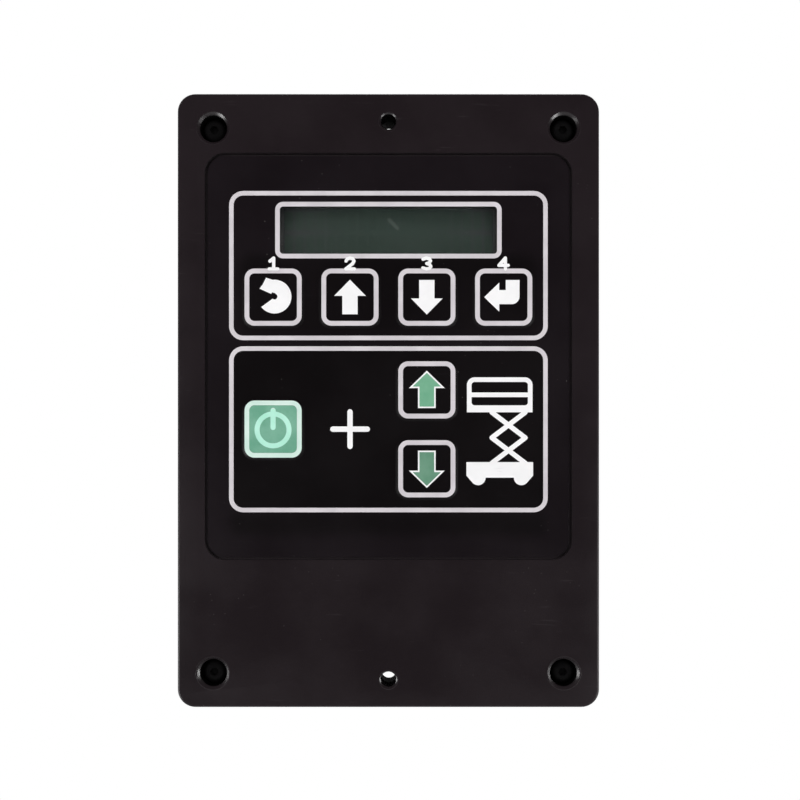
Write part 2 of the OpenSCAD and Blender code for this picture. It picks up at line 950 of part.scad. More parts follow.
module overlay_print() {
    color([0.9, 0.88, 0.9])
        upright()
            layer(overlay_face_z, overlay_face_z + ink_t) {
                translate([0, upper_frame_up])
                    rounded_ring(frame_w, upper_frame_h, frame_r, line_w);
                translate([0, lower_frame_up])
                    rounded_ring(frame_w, lower_frame_h, frame_r, line_w);
                translate([0, display_up])
                    rounded_ring(window_w + 2 * display_line_w, window_h + 2 * display_line_w,
                        display_line_r, display_line_w);
                difference() {
                    digits();
                    key_openings();
                }
                plus_sign();
                translate([lift_column_share * key_pitch, lower_frame_up])
                    scale(symbol_scale) scissor_lift();
            }
}

// The digits reach from the display's border to the keys
module digits() {
    digit_up = (display_up - window_h / 2 - display_line_w + menu_up + key_size / 2) / 2;
    for (i = [0:len(menu_places) - 1])
        translate([menu_places[i][0], digit_up])
            strokes([for (p = digit_shares[i]) p * (digit_h - digit_line_w)], digit_line_w);
}

module plus_sign() {
    reach = (plus_size - plus_line_w) / 2;
    translate(plus_place) {
        stroke([-reach, 0], [reach, 0], plus_line_w);
        stroke([0, -reach], [0, reach], plus_line_w);
    }
}

// The lift seen from the side: platform with rails, scissor arms, chassis and wheels
module scissor_lift() {
    under_rail = rail_top - rail_line_w;
    difference() {
        translate([0, (rail_top + deck_top - deck_h) / 2])
            rounded_rect(rail_w, rail_top - deck_top + deck_h, rail_r);
        difference() {
            translate([0, (under_rail + deck_top) / 2])
                rounded_rect(rail_w - 2 * rail_line_w, under_rail - deck_top, rail_r - rail_line_w);
            translate([0, rail_mid]) square([rail_w, rail_line_w], center = true);
        }
    }
    translate([0, deck_top - deck_h / 2]) square([rail_w, deck_h], center = true);
    for (s = [-1, 1])
        translate([scissor_side, deck_top - deck_h]) {
            strokes([
                [-s * scissor_w / 2, 0],
                [s * scissor_w / 2, -scissor_link_h],
                [-s * scissor_w / 2, -2 * scissor_link_h],
            ], scissor_line_w);
        }
    guard_x = wheel_spread / 2 + wheel_r * cos(45);
    guard_y = chassis_h + wheel_r * sin(45);
    translate([0, chassis_top])
        polygon([
            [-chassis_w / 2, 0], [-chassis_w / 2, -chassis_side_h], [-guard_x, -guard_y],
            [-wheel_spread / 2, -chassis_h], [wheel_spread / 2, -chassis_h],
            [guard_x, -guard_y], [chassis_w / 2, -chassis_side_h], [chassis_w / 2, 0]
        ]);
    for (s = [-1, 1])
        translate([s * wheel_spread / 2, chassis_top - chassis_h]) circle(r = wheel_r);
}

// Keys: each is a tile of the overlay that is formed proud of it, with a nib over its dome

module key(place) {
    color([0.09, 0.08, 0.09])
        upright()
            translate([place[0], place[1], 0]) {
                rounded_slab(key_tile, key_tile, key_tile_r, overlay_z, key_face_z, key_rise);
                post(nib_d, overlay_z - nib_h, overlay_z + nib_h);
            }
}

// Ink on a key, on the given layer of ink
module key_ink(place, ink_layer, shade) {
    color(shade)
        upright()
            translate([place[0], place[1], 0])
                layer(key_face_z + ink_layer * ink_t, key_face_z + (ink_layer + 1) * ink_t) children();
}

module key_border_line() {
    rounded_ring(key_size, key_size, key_r, key_border);
}

module arrow(tip, neck, half_w, shaft_half_w, tail, inset) {
    slope = atan2(half_w, tip - neck);
    top = tip - inset / sin(slope);
    base = neck + inset;
    half = half_w * (top - base) / (tip - neck);
    polygon([
        [0, top], [-half, base], [inset - shaft_half_w, base], [inset - shaft_half_w, inset - tail],
        [shaft_half_w - inset, inset - tail], [shaft_half_w - inset, base], [half, base]
    ]);
}

module menu_arrow() {
    arrow(arrow_tip, arrow_neck, arrow_half_w, arrow_shaft_half_w, arrow_tail, 0);
}

module lift_arrow(inset) {
    arrow(lift_arrow_tip, lift_arrow_neck, lift_arrow_half_w, lift_arrow_shaft_half_w,
        lift_arrow_tail, inset);
}

module escape_symbol() {
    translate([escape_right, escape_up]) {
        difference() {
            circle(r = escape_r);
            circle(r = escape_r * escape_hole_share);
            polygon(escape_r * escape_wedge_shares);
        }
        polygon(escape_r * escape_head_shares);
    }
}

module enter_symbol() {
    polygon([
        [-enter_tip, 0], [enter_head_x, enter_head_half], [enter_head_x, enter_shaft_half],
        [enter_stub_left, enter_shaft_half], [enter_stub_left, enter_top], [enter_right, enter_top],
        for (p = reversed(arc_points(enter_right - enter_r, enter_r - enter_shaft_half, enter_r, 270))) p,
        [enter_head_x, -enter_shaft_half], [enter_head_x, -enter_head_half]
    ]);
}

module standby_symbol() {
    translate([0, -standby_down])
        difference() {
            circle(r = standby_r + standby_line_w / 2);
            circle(r = standby_r - standby_line_w / 2);
        }
    stroke([0, standby_bar_foot], [0, standby_bar_top - standby_bar_w / 2], standby_bar_w);
}

module escape_key() {
    key(menu_places[0]);
}

module up_key() {
    key(menu_places[1]);
}

module down_key() {
    key(menu_places[2]);
}

module enter_key() {
    key(menu_places[3]);
}

module enable_key() {
    key(enable_place);
}

module raise_key() {
    key(raise_place);
}

module lower_key() {
    key(lower_place);
}

module escape_key_print() {
    key_ink(menu_places[0], 0, "white") {
        key_border_line();
        scale(symbol_scale) escape_symbol();
    }
}

module up_key_print() {
    key_ink(menu_places[1], 0, "white") {
        key_border_line();
        scale(symbol_scale) menu_arrow();
    }
}

module down_key_print() {
    key_ink(menu_places[2], 0, "white") {
        key_border_line();
        rotate(180) scale(symbol_scale) menu_arrow();
    }
}

module enter_key_print() {
    key_ink(menu_places[3], 0, "white") {
        key_border_line();
        scale(symbol_scale) enter_symbol();
    }
}

module enable_key_print() {
    key_ink(enable_place, 0, "honeydew") key_border_line();
    key_ink(enable_place, 1, "honeydew") scale(symbol_scale) standby_symbol();
}

module enable_key_field() {
    key_ink(enable_place, 0, [0.36, 0.64, 0.53])
        rounded_rect(key_size - 2 * (key_border + ink_gap), key_size - 2 * (key_border + ink_gap),
            key_r - key_border);
}

module raise_key_print() {
    key_ink(raise_place, 0, "white") {
        key_border_line();
        scale(symbol_scale) lift_arrow(0);
    }
}

module lower_key_print() {
    key_ink(lower_place, 0, "white") {
        key_border_line();
        rotate(180) scale(symbol_scale) lift_arrow(0);
    }
}

module raise_key_arrow() {
    key_ink(raise_place, 1, [0.36, 0.64, 0.5])
        scale(symbol_scale) lift_arrow(lift_arrow_line_w);
}

module lower_key_arrow() {
    key_ink(lower_place, 1, [0.36, 0.64, 0.5])
        rotate(180) scale(symbol_scale) lift_arrow(lift_arrow_line_w);
}

// Height of a shallow spherical cap at a distance from its middle
function cap_height(r, h, x) =
    let (ball = (r * r + h * h) / (2 * h))
        sqrt(ball * ball - x * x) - ball + h;

// Thin sprung cap under a key, resting on the circuit by its rim
module snap_dome(place) {
    inner_r = dome_d / 2 - dome_rim;
    color("silver")
        upright()
            translate([place[0], place[1], dome_z])
                rotate_extrude()
                    polygon(concat(
                        [for (i = [0:dome_steps])
                            let (x = dome_d / 2 * i / dome_steps)
                                [x, cap_height(dome_d / 2, dome_h, x)]],
                        [for (i = [dome_steps:-1:0])
                            let (x = inner_r * i / dome_steps)
                                [x, cap_height(inner_r, dome_h - dome_t, x)]]
                    ));
}

module escape_dome() {
    snap_dome(menu_places[0]);
}

module up_dome() {
    snap_dome(menu_places[1]);
}

module down_dome() {
    snap_dome(menu_places[2]);
}

module enter_dome() {
    snap_dome(menu_places[3]);
}

module enable_dome() {
    snap_dome(enable_place);
}

module raise_dome() {
    snap_dome(raise_place);
}

module lower_dome() {
    snap_dome(lower_place);
}

// Display module behind its window

module at_display() {
    upright() translate([0, display_up, 0]) children();
}

module display_window() {
    color([0.6, 0.7, 0.65, 0.5])
        at_display() {
            layer(recess_z, overlay_z)
                rounded_rect(window_w + 2 * window_lip, window_h + 2 * window_lip, window_lip);
            layer(overlay_z - ink_t, overlay_face_z)
                rounded_rect(window_w - 2 * window_slack, window_h - 2 * window_slack,
                    display_line_r - display_line_w - window_slack);
        }
}

module window_gasket() {
    color([0.15, 0.15, 0.15])
        at_display()
            layer(bezel_front_z, inner_z)
                rounded_ring(window_w + 2 * (aperture_margin + window_gasket_w),
                    window_h + 2 * (aperture_margin + window_gasket_w),
                    aperture_margin + window_gasket_w, window_gasket_w);
}

module display_bezel() {
    color([0.2, 0.2, 0.2])
        at_display()
            difference() {
                layer(display_board_z, bezel_front_z) square([bezel_w, bezel_h], center = true);
                layer(display_board_z - overrun, bezel_front_z - bezel_wall)
                    square([bezel_w - 2 * bezel_wall, bezel_h - 2 * bezel_wall], center = true);
                layer(display_board_z, bezel_front_z + overrun)
                    square([bezel_view_w, bezel_view_h], center = true);
            }
}

module display_fill() {
    gap = bezel_wall + display_fit;
    square([bezel_w - 2 * gap, bezel_h - 2 * gap], center = true);
}

module display_glass() {
    color([0.3, 0.36, 0.33])
        at_display()
            layer(bezel_front_z - bezel_wall - display_glass_t, bezel_front_z - bezel_wall)
                display_fill();
}

module display_backlight() {
    color([0.85, 0.9, 0.8])
        at_display()
            layer(display_board_z, bezel_front_z - bezel_wall - display_glass_t)
                display_fill();
}

module display_board() {
    color([0.1, 0.3, 0.2])
        upright()
            difference() {
                translate([0, display_up, 0])
                    layer(display_board_rear_z, display_board_z)
                        square([display_board_w, display_board_h], center = true);
                at_display_screws()
                    post(display_screw_d + 2 * pin_slack, display_board_rear_z - overrun,
                        display_board_z + overrun);
            }
}

module display_chips() {
    color([0.06, 0.06, 0.06])
        at_display()
            for (s = [-1, 1])
                translate([s * display_chip_side, 0, display_board_rear_z])
                    mirror([0, 0, 1])
                        rotate_extrude()
                            polygon([
                                [0, 0], [display_chip_d / 2, 0],
                                for (i = [dome_steps - 1:-1:0])
                                    let (x = display_chip_d / 2 * i / dome_steps)
                                        [x, cap_height(display_chip_d / 2, display_chip_h, x)]
                            ]);
}

module display_sockets() {
    color([0.08, 0.08, 0.08])
        upright() {
            translate([0, display_socket_up, 0])
                layer(display_board_rear_z - display_socket_t, display_board_rear_z)
                    square([display_socket_w, display_socket_h], center = true);
            translate([0, display_socket_up - ribbon_drop, 0])
                layer(board_z, board_z + display_socket_t)
                    square([display_socket_w, display_socket_h], center = true);
        }
}

module display_ribbon() {
    color([0.6, 0.6, 0.6])
        upright()
            strip(s_path(display_socket_up, display_board_rear_z - display_socket_t,
                display_socket_up - ribbon_drop, board_z + display_socket_t), ribbon_t, ribbon_w);
}

// Main board and what stands on its rear face

module at_pins() {
    for (i = [0:pin_columns - 1])
        for (row = [-1, 1])
            translate([(i - (pin_columns - 1) / 2) * pin_pitch, row * pin_row_pitch / 2, 0]) children();
}

module main_board() {
    color([0.05, 0.28, 0.15])
        upright()
            difference() {
                translate([0, board_up, 0])
                    layer(board_rear_z, board_z) rounded_rect(board_w, board_h, board_r);
                at_board_screws()
                    post(board_screw_d + 2 * pin_slack, board_rear_z - overrun, board_z + overrun);
                at_headers()
                    at_pins()
                        post(pin_d + 2 * pin_slack, board_rear_z - overrun, board_z + overrun);
            }
}

// Brings a footprint from the drawn field to its place on the board
module on_board(x, y, t) {
    translate([x * field_scale_w, field_foot + y * field_scale_h, 0])
        layer(board_rear_z - t, board_rear_z)
            scale([field_scale_w, field_scale_h]) children();
}

// The same for a part whose size is already its own; it rises from zero behind the board
module stand_on_board(x, y) {
    translate([x * field_scale_w, field_foot + y * field_scale_h, board_rear_z])
        mirror([0, 0, 1]) children();
}

module processor() {
    color([0.1, 0.1, 0.1])
        upright() {
            on_board(0, processor_up, processor_h) square(processor_size, center = true);
            for (turn = [0, 90])
                for (i = [0:processor_leads - 1])
                    let (place = (i - (processor_leads - 1) / 2) * processor_size / (processor_leads + 1))
                        on_board(0, processor_up, lead_t)
                            rotate(turn)
                                translate([place, 0])
                                    square([lead_w, processor_size + 2 * lead_out], center = true);
        }
}

module driver_chips() {
    color([0.1, 0.1, 0.1])
        upright()
            for (s = [-1, 1])
                for (y = [for (i = [0:chip_rows - 1]) chip_rows_up + i * chip_row_pitch]) {
                    on_board(s * chip_side, y, chip_t) square([chip_w, chip_h], center = true);
                    on_board(s * chip_side, y, lead_t)
                        square([chip_w - lead_out, chip_h + 2 * lead_out], center = true);
                }
}

module power_transistors() {
    color([0.12, 0.12, 0.12])
        upright()
            for (i = [0:transistor_count - 1])
                let (x = (i - (transistor_count - 1) / 2) * transistor_pitch) {
                    on_board(x, transistor_up, transistor_t)
                        square([transistor_w, transistor_h], center = true);
                    on_board(x, transistor_up, transistor_tab_t)
                        square([transistor_w - transistor_tab, transistor_h + 2 * transistor_tab],
                            center = true);
                }
}

module relays() {
    color([0.15, 0.2, 0.4])
        upright()
            for (share = relay_shares)
                stand_on_board(share * field_drawn_w, relay_up)
                    rounded_slab(relay_w * field_scale_w, relay_h * field_scale_h, relay_edge,
                        0, relay_t, relay_edge / 2);
}

module capacitors() {
    color([0.15, 0.15, 0.2])
        upright()
            for (share = capacitor_shares)
                stand_on_board(share * field_drawn_w, relay_up)
                    rotate_extrude()
                        polygon([
                            [0, 0], [capacitor_d / 2, 0], [capacitor_d / 2, 2 * capacitor_bead],
                            [capacitor_d / 2 - capacitor_bead, 3 * capacitor_bead],
                            [capacitor_d / 2, 4 * capacitor_bead],
                            [capacitor_d / 2, capacitor_t - capacitor_bead],
                            [capacitor_d / 2 - capacitor_bead, capacitor_t], [0, capacitor_t]
                        ]);
}

module inductor() {
    color([0.5, 0.3, 0.15])
        upright()
            stand_on_board(inductor_right, inductor_up)
                rotate_extrude()
                    polygon([
                        [0, 0], [inductor_d / 2, 0], [inductor_d / 2, inductor_flange],
                        [inductor_core_share * inductor_d / 2, inductor_flange],
                        [inductor_core_share * inductor_d / 2, inductor_t - inductor_flange],
                        [inductor_d / 2, inductor_t - inductor_flange],
                        [inductor_d / 2, inductor_t], [0, inductor_t]
                    ]);
}

// Headers: a tube from the board to the outside, with a flange that presses its seal on the wall
module header(place) {
    color([0.2, 0.2, 0.21])
        upright()
            translate([place[0], place[1], 0])
                difference() {
                    union() {
                        layer(socket_mouth_z, board_rear_z)
                            rounded_rect(socket_w, socket_h, header_r - header_opening_gap / 2);
                        layer(header_flange_z, header_flange_z + header_flange_t)
                            rounded_rect(header_base_w, header_base_h, header_r);
                        latch();
                        keying_ribs();
                    }
                    layer(socket_mouth_z - overrun, board_rear_z + overrun) socket_inside(0);
                }
}

module socket_inside(slack) {
    inset = socket_wall + slack;
    rounded_rect(socket_w - 2 * inset, socket_h - 2 * inset,
        header_r - header_opening_gap / 2 - socket_wall / 2 - slack);
}

// Blocks that close the headers' tubes and hold the pins
module pin_carriers() {
    color([0.32, 0.32, 0.34])
        upright()
            at_headers()
                difference() {
                    layer(socket_floor_z, board_rear_z) socket_inside(carrier_slack);
                    at_pins()
                        post(pin_d + 2 * pin_slack, socket_floor_z - overrun, board_rear_z + overrun);
                }
}

// Ramp on top of the socket that a plug's lock snaps over
module latch() {
    translate([-latch_w / 2, socket_h / 2, socket_mouth_z + 2 * latch_length])
        rotate([90, 0, 90])
            linear_extrude(latch_w)
                polygon([[-latch_t / 2, 0], [latch_t, 0], [-latch_t / 2, -latch_length]]);
}

// Two ribs under the socket that key the plug
module keying_ribs() {
    for (s = [-1, 1])
        translate([s * socket_w / 4, -socket_h / 2, 0])
            layer(socket_mouth_z + latch_t, -box_depth - latch_t)
                square([key_rib_w, 2 * key_rib_t], center = true);
}

module header_left() {
    header(header_places[0]);
}

module header_right() {
    header(header_places[1]);
}

module header_pins() {
    tip_z = socket_floor_z - pin_out;
    color("silver")
        upright()
            at_headers()
                at_pins() {
                    post(pin_d, tip_z + pin_d, board_z + pin_solder);
                    translate([0, 0, tip_z]) cylinder(d1 = pin_d / 3, d2 = pin_d, h = pin_d);
                }
}

module header_seals() {
    color([0.55, 0.2, 0.15])
        upright()
            at_headers()
                layer(box_inner_z, header_flange_z)
                    rounded_ring(header_base_w, header_base_h, header_r,
                        header_seal_w);
}

face_cover();
graphic_overlay();
overlay_print();
display_window();
keypad_spacer();
keypad_circuit();
keypad_adhesive();
rear_housing();
housing_gasket();
panel_gasket();
corner_screws();
threaded_inserts();
window_gasket();
display_bezel();
display_glass();
display_backlight();
display_board();
display_chips();
display_screws();
display_sockets();
display_ribbon();
main_board();
processor();
driver_chips();
power_transistors();
relays();
capacitors();
inductor();
board_screws();
keypad_socket();
header_left();
header_right();
header_pins();
header_seals();
pin_carriers();
vent_plug();
escape_key();
up_key();
down_key();
enter_key();
enable_key();
raise_key();
lower_key();
escape_key_print();
up_key_print();
down_key_print();
enter_key_print();
enable_key_print();
raise_key_print();
lower_key_print();
enable_key_field();
raise_key_arrow();
lower_key_arrow();
escape_dome();
up_dome();
down_dome();
enter_dome();
enable_dome();
raise_dome();
lower_dome();
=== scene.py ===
import json
import math

import bmesh
import bpy
import numpy as np
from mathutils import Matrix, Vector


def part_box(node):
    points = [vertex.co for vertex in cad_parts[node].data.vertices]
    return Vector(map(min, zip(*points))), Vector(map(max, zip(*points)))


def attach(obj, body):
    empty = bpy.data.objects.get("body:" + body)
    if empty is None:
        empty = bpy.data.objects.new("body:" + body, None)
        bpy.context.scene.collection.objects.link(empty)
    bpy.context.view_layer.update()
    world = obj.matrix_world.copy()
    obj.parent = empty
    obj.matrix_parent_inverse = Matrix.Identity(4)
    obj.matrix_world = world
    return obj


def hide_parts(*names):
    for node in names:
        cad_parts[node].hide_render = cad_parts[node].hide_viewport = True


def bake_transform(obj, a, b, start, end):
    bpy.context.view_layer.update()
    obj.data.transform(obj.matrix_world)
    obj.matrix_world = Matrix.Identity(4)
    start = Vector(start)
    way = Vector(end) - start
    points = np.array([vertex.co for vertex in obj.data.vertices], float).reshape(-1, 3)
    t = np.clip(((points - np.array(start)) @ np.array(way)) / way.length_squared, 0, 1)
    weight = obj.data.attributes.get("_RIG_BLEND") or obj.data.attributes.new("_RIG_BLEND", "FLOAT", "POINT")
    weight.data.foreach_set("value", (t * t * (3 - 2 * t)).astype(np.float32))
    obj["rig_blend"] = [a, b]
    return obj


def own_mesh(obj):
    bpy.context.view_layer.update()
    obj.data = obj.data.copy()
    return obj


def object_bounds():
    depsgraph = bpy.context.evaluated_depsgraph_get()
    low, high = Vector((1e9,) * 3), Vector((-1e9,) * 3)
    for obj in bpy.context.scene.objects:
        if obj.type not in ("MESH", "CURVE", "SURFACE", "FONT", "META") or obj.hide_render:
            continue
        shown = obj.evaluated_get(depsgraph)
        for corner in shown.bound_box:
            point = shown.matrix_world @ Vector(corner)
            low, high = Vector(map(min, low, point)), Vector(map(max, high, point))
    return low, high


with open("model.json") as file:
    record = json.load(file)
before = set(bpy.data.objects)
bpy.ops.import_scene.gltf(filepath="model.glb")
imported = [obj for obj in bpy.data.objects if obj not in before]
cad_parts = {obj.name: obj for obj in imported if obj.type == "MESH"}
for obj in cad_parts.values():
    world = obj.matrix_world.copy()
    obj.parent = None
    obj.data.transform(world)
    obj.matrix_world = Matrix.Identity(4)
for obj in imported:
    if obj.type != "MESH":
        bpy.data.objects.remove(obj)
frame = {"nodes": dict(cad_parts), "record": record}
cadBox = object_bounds()
nodes = frame["nodes"]
mm = 0.001
keyNames = ["escape", "up", "down", "enter", "enable", "raise", "lower"]
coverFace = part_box("face_cover")[0].y
boltSpacing = frame["record"]["mounts"][0]["dims"]["spacing_y_mm"]
print("frame loaded:", len(nodes), "nodes")


# Small helpers for node trees

def addNode(tree, kind, inputs=None, **settings):
    node = tree.nodes.new(kind)
    for name, value in settings.items():
        setattr(node, name, value)
    for name, value in (inputs or {}).items():
        feed(tree, node.inputs[name], value)
    return node


def feed(tree, socket, value):
    if isinstance(value, bpy.types.NodeSocket):
        tree.links.new(value, socket)
    else:
        socket.default_value = value


def calc(tree, operation, a, b=0.0, clamp=False):
    node = addNode(tree, "ShaderNodeMath", operation=operation, use_clamp=clamp)
    feed(tree, node.inputs[0], a)
    feed(tree, node.inputs[1], b)
    return node.outputs[0]


# Runs from low to high as a value runs from 0 to 1
def spread(tree, value, low, high):
    node = addNode(tree, "ShaderNodeMath", operation="MULTIPLY_ADD")
    for socket, given in zip(node.inputs, (value, high - low, low)):
        feed(tree, socket, given)
    return node.outputs[0]


def toMillimetres(tree, value):
    return calc(tree, "MULTIPLY", value, 1 / mm)


def vectorCalc(tree, operation, a, b=(0.0, 0.0, 0.0)):
    node = addNode(tree, "ShaderNodeVectorMath", operation=operation)
    feed(tree, node.inputs[0], a)
    feed(tree, node.inputs[1], b)
    return node


def colour(rgb):
    return (*rgb, 1.0)


def mixColours(tree, factor, a, b):
    node = addNode(tree, "ShaderNodeMix", data_type="RGBA")
    feed(tree, node.inputs[0], factor)
    feed(tree, node.inputs[6], a)
    feed(tree, node.inputs[7], b)
    return node.outputs[2]


# Eases a value from 0 at low to 1 at high
def easeBetween(tree, value, low, high):
    node = addNode(tree, "ShaderNodeMapRange", interpolation_type="SMOOTHSTEP")
    feed(tree, node.inputs["Value"], value)
    node.inputs["From Min"].default_value = low
    node.inputs["From Max"].default_value = high
    return node.outputs["Result"]


def noiseAt(tree, place, scale, **inputs):
    given = {"Vector": place, "Scale": scale, **inputs}
    return addNode(tree, "ShaderNodeTexNoise", given).outputs["Fac"]


def newGroup(name, inputs, outputs):
    tree = bpy.data.node_groups.new(name, "ShaderNodeTree")
    for label, value in inputs.items():
        kind = "NodeSocketVector" if value is None else "NodeSocketFloat"
        socket = tree.interface.new_socket(label, in_out="INPUT", socket_type=kind)
        if value is not None:
            socket.default_value = value
    for label in outputs:
        tree.interface.new_socket(label, in_out="OUTPUT", socket_type="NodeSocketFloat")
    return tree, tree.nodes.new("NodeGroupInput").outputs, tree.nodes.new("NodeGroupOutput").inputs


def useGroup(tree, group, **values):
    node = tree.nodes.new("ShaderNodeGroup")
    node.node_tree = group
    for name, value in values.items():
        feed(tree, node.inputs[name], value)
    return node.outputs


# Effects that several materials share

grainNoise = {"fine": {"Detail": 3.0, "Roughness": 0.6},
              "broad": {"Detail": 4.0, "Roughness": 0.55}, "clouds": (0.32, 0.68)}


# Moulded or coated grain: fine noise of the given size, with broad clouds over it
def makeGrain(values):
    tree, given, result = newGroup("surfaceGrain", {"place": None, "size": 0.5, "cloudSize": 40.0},
                                   ["height", "cloud"])
    fineScale = calc(tree, "DIVIDE", 1 / mm, given["size"])
    feed(tree, result["height"], noiseAt(tree, given["place"], fineScale, **values["fine"]))
    cloudScale = calc(tree, "DIVIDE", 1 / mm, given["cloudSize"])
    broad = noiseAt(tree, given["place"], cloudScale, **values["broad"])
    feed(tree, result["cloud"], easeBetween(tree, broad, *values["clouds"]))
    return tree


scuffNoise = {"turn": {"Rotation": (0.3, 0.9, 0.5), "Scale": (1.0, 14.0, 14.0)}, "density": 0.06,
              "lines": {"Detail": 2.0, "Distortion": 0.4}, "thin": (0.66, 0.72),
              "patches": {"scale": 60.0, "Detail": 2.0}, "here": (0.5, 0.62)}


# Thin rubbed lines: noise stretched along one way and cut off high, in patches
def makeScuffs(values):
    tree, given, result = newGroup("rubbedLines", {"place": None, "size": 1.2, "amount": 0.5},
                                   ["mask"])
    turned = addNode(tree, "ShaderNodeMapping", {"Vector": given["place"], **values["turn"]})
    scale = calc(tree, "DIVIDE", values["density"] / mm, given["size"])
    lines = noiseAt(tree, turned.outputs[0], scale, **values["lines"])
    patches = noiseAt(tree, given["place"], **values["patches"])
    mask = calc(tree, "MULTIPLY", easeBetween(tree, lines, *values["thin"]),
                easeBetween(tree, patches, *values["here"]))
    feed(tree, result["mask"], calc(tree, "MULTIPLY", mask, given["amount"]))
    return tree


# Distance in millimetres, in the plane of the face, from a rounded rectangle: negative inside it
def makeOutline():
    shape = {"middleX": 0.0, "middleZ": 0.0, "halfX": 10.0, "halfZ": 10.0, "radius": 1.0}
    tree, given, result = newGroup("outlineDistance", {"place": None, **shape}, ["distance"])
    split = addNode(tree, "ShaderNodeSeparateXYZ", {"Vector": given["place"]}).outputs
    over = []
    for axis in "XZ":
        away = calc(tree, "SUBTRACT", toMillimetres(tree, split[axis]), given["middle" + axis])
        inner = calc(tree, "SUBTRACT", given["half" + axis], given["radius"])
        over.append(calc(tree, "SUBTRACT", calc(tree, "ABSOLUTE", away), inner))
    squares = [calc(tree, "POWER", calc(tree, "MAXIMUM", side, 0.0), 2.0) for side in over]
    outside = calc(tree, "SQRT", calc(tree, "ADD", *squares))
    inside = calc(tree, "MINIMUM", calc(tree, "MAXIMUM", *over), 0.0)
    rounded = calc(tree, "SUBTRACT", calc(tree, "ADD", outside, inside), given["radius"])
    feed(tree, result["distance"], rounded)
    return tree


dustSpecks = {"dots": (0.09, 0.04), "patches": {"scale": 45.0, "Detail": 3.0}, "here": (0.52, 0.66),
              "tone": (0.2, 0.19, 0.18), "roughness": 0.3}


# Settled dust: small round specks, thinned out by clouds
def makeDust(values):
    tree, given, result = newGroup("settledDust", {"place": None, "spacing": 3.0, "amount": 1.0},
                                   ["mask"])
    scale = calc(tree, "DIVIDE", 1 / mm, given["spacing"])
    specks = addNode(tree, "ShaderNodeTexVoronoi", {"Vector": given["place"], "Scale": scale})
    patches = noiseAt(tree, given["place"], **values["patches"])
    mask = calc(tree, "MULTIPLY", easeBetween(tree, specks.outputs["Distance"], *values["dots"]),
                easeBetween(tree, patches, *values["here"]))
    feed(tree, result["mask"], calc(tree, "MULTIPLY", mask, given["amount"]))
    return tree


surfaceGrain = makeGrain(grainNoise)
rubbedLines = makeScuffs(scuffNoise)
outlineDistance = makeOutline()
settledDust = makeDust(dustSpecks)
print("shared effects built")


def newMaterial(name):
    material = bpy.data.materials.new(name)
    material.use_nodes = True
    tree = material.node_tree
    tree.nodes.clear()
    output = tree.nodes.new("ShaderNodeOutputMaterial")
    shader = tree.nodes.new("ShaderNodeBsdfPrincipled")
    tree.links.new(shader.outputs[0], output.inputs["Surface"])
    place = tree.nodes.new("ShaderNodeTexCoord").outputs["Object"]
    return material, tree, shader.inputs, place


def addBump(tree, sockets, height, depth):
    bump = addNode(tree, "ShaderNodeBump", {"Height": height, "Distance": depth * mm})
    tree.links.new(bump.outputs[0], sockets["Normal"])


# Distance from an outline given in a dictionary of millimetres
def outlineAt(tree, place, outline):
    return useGroup(tree, outlineDistance, place=place, **outline)["distance"]


# Grain and clouds of the sizes that a finish gives
def grainAt(tree, place, values):
    sizes = {"size": values["grain"], "cloudSize": values["cloudSize"]}
    return useGroup(tree, surfaceGrain, place=place, **sizes)


# Two tones that change over in broad clouds
def clouded(tree, grain, tones):
    return mixColours(tree, grain["cloud"], *map(colour, tones))


# Finishes of the many small pieces: two tones, grain, rubbed lines and dust

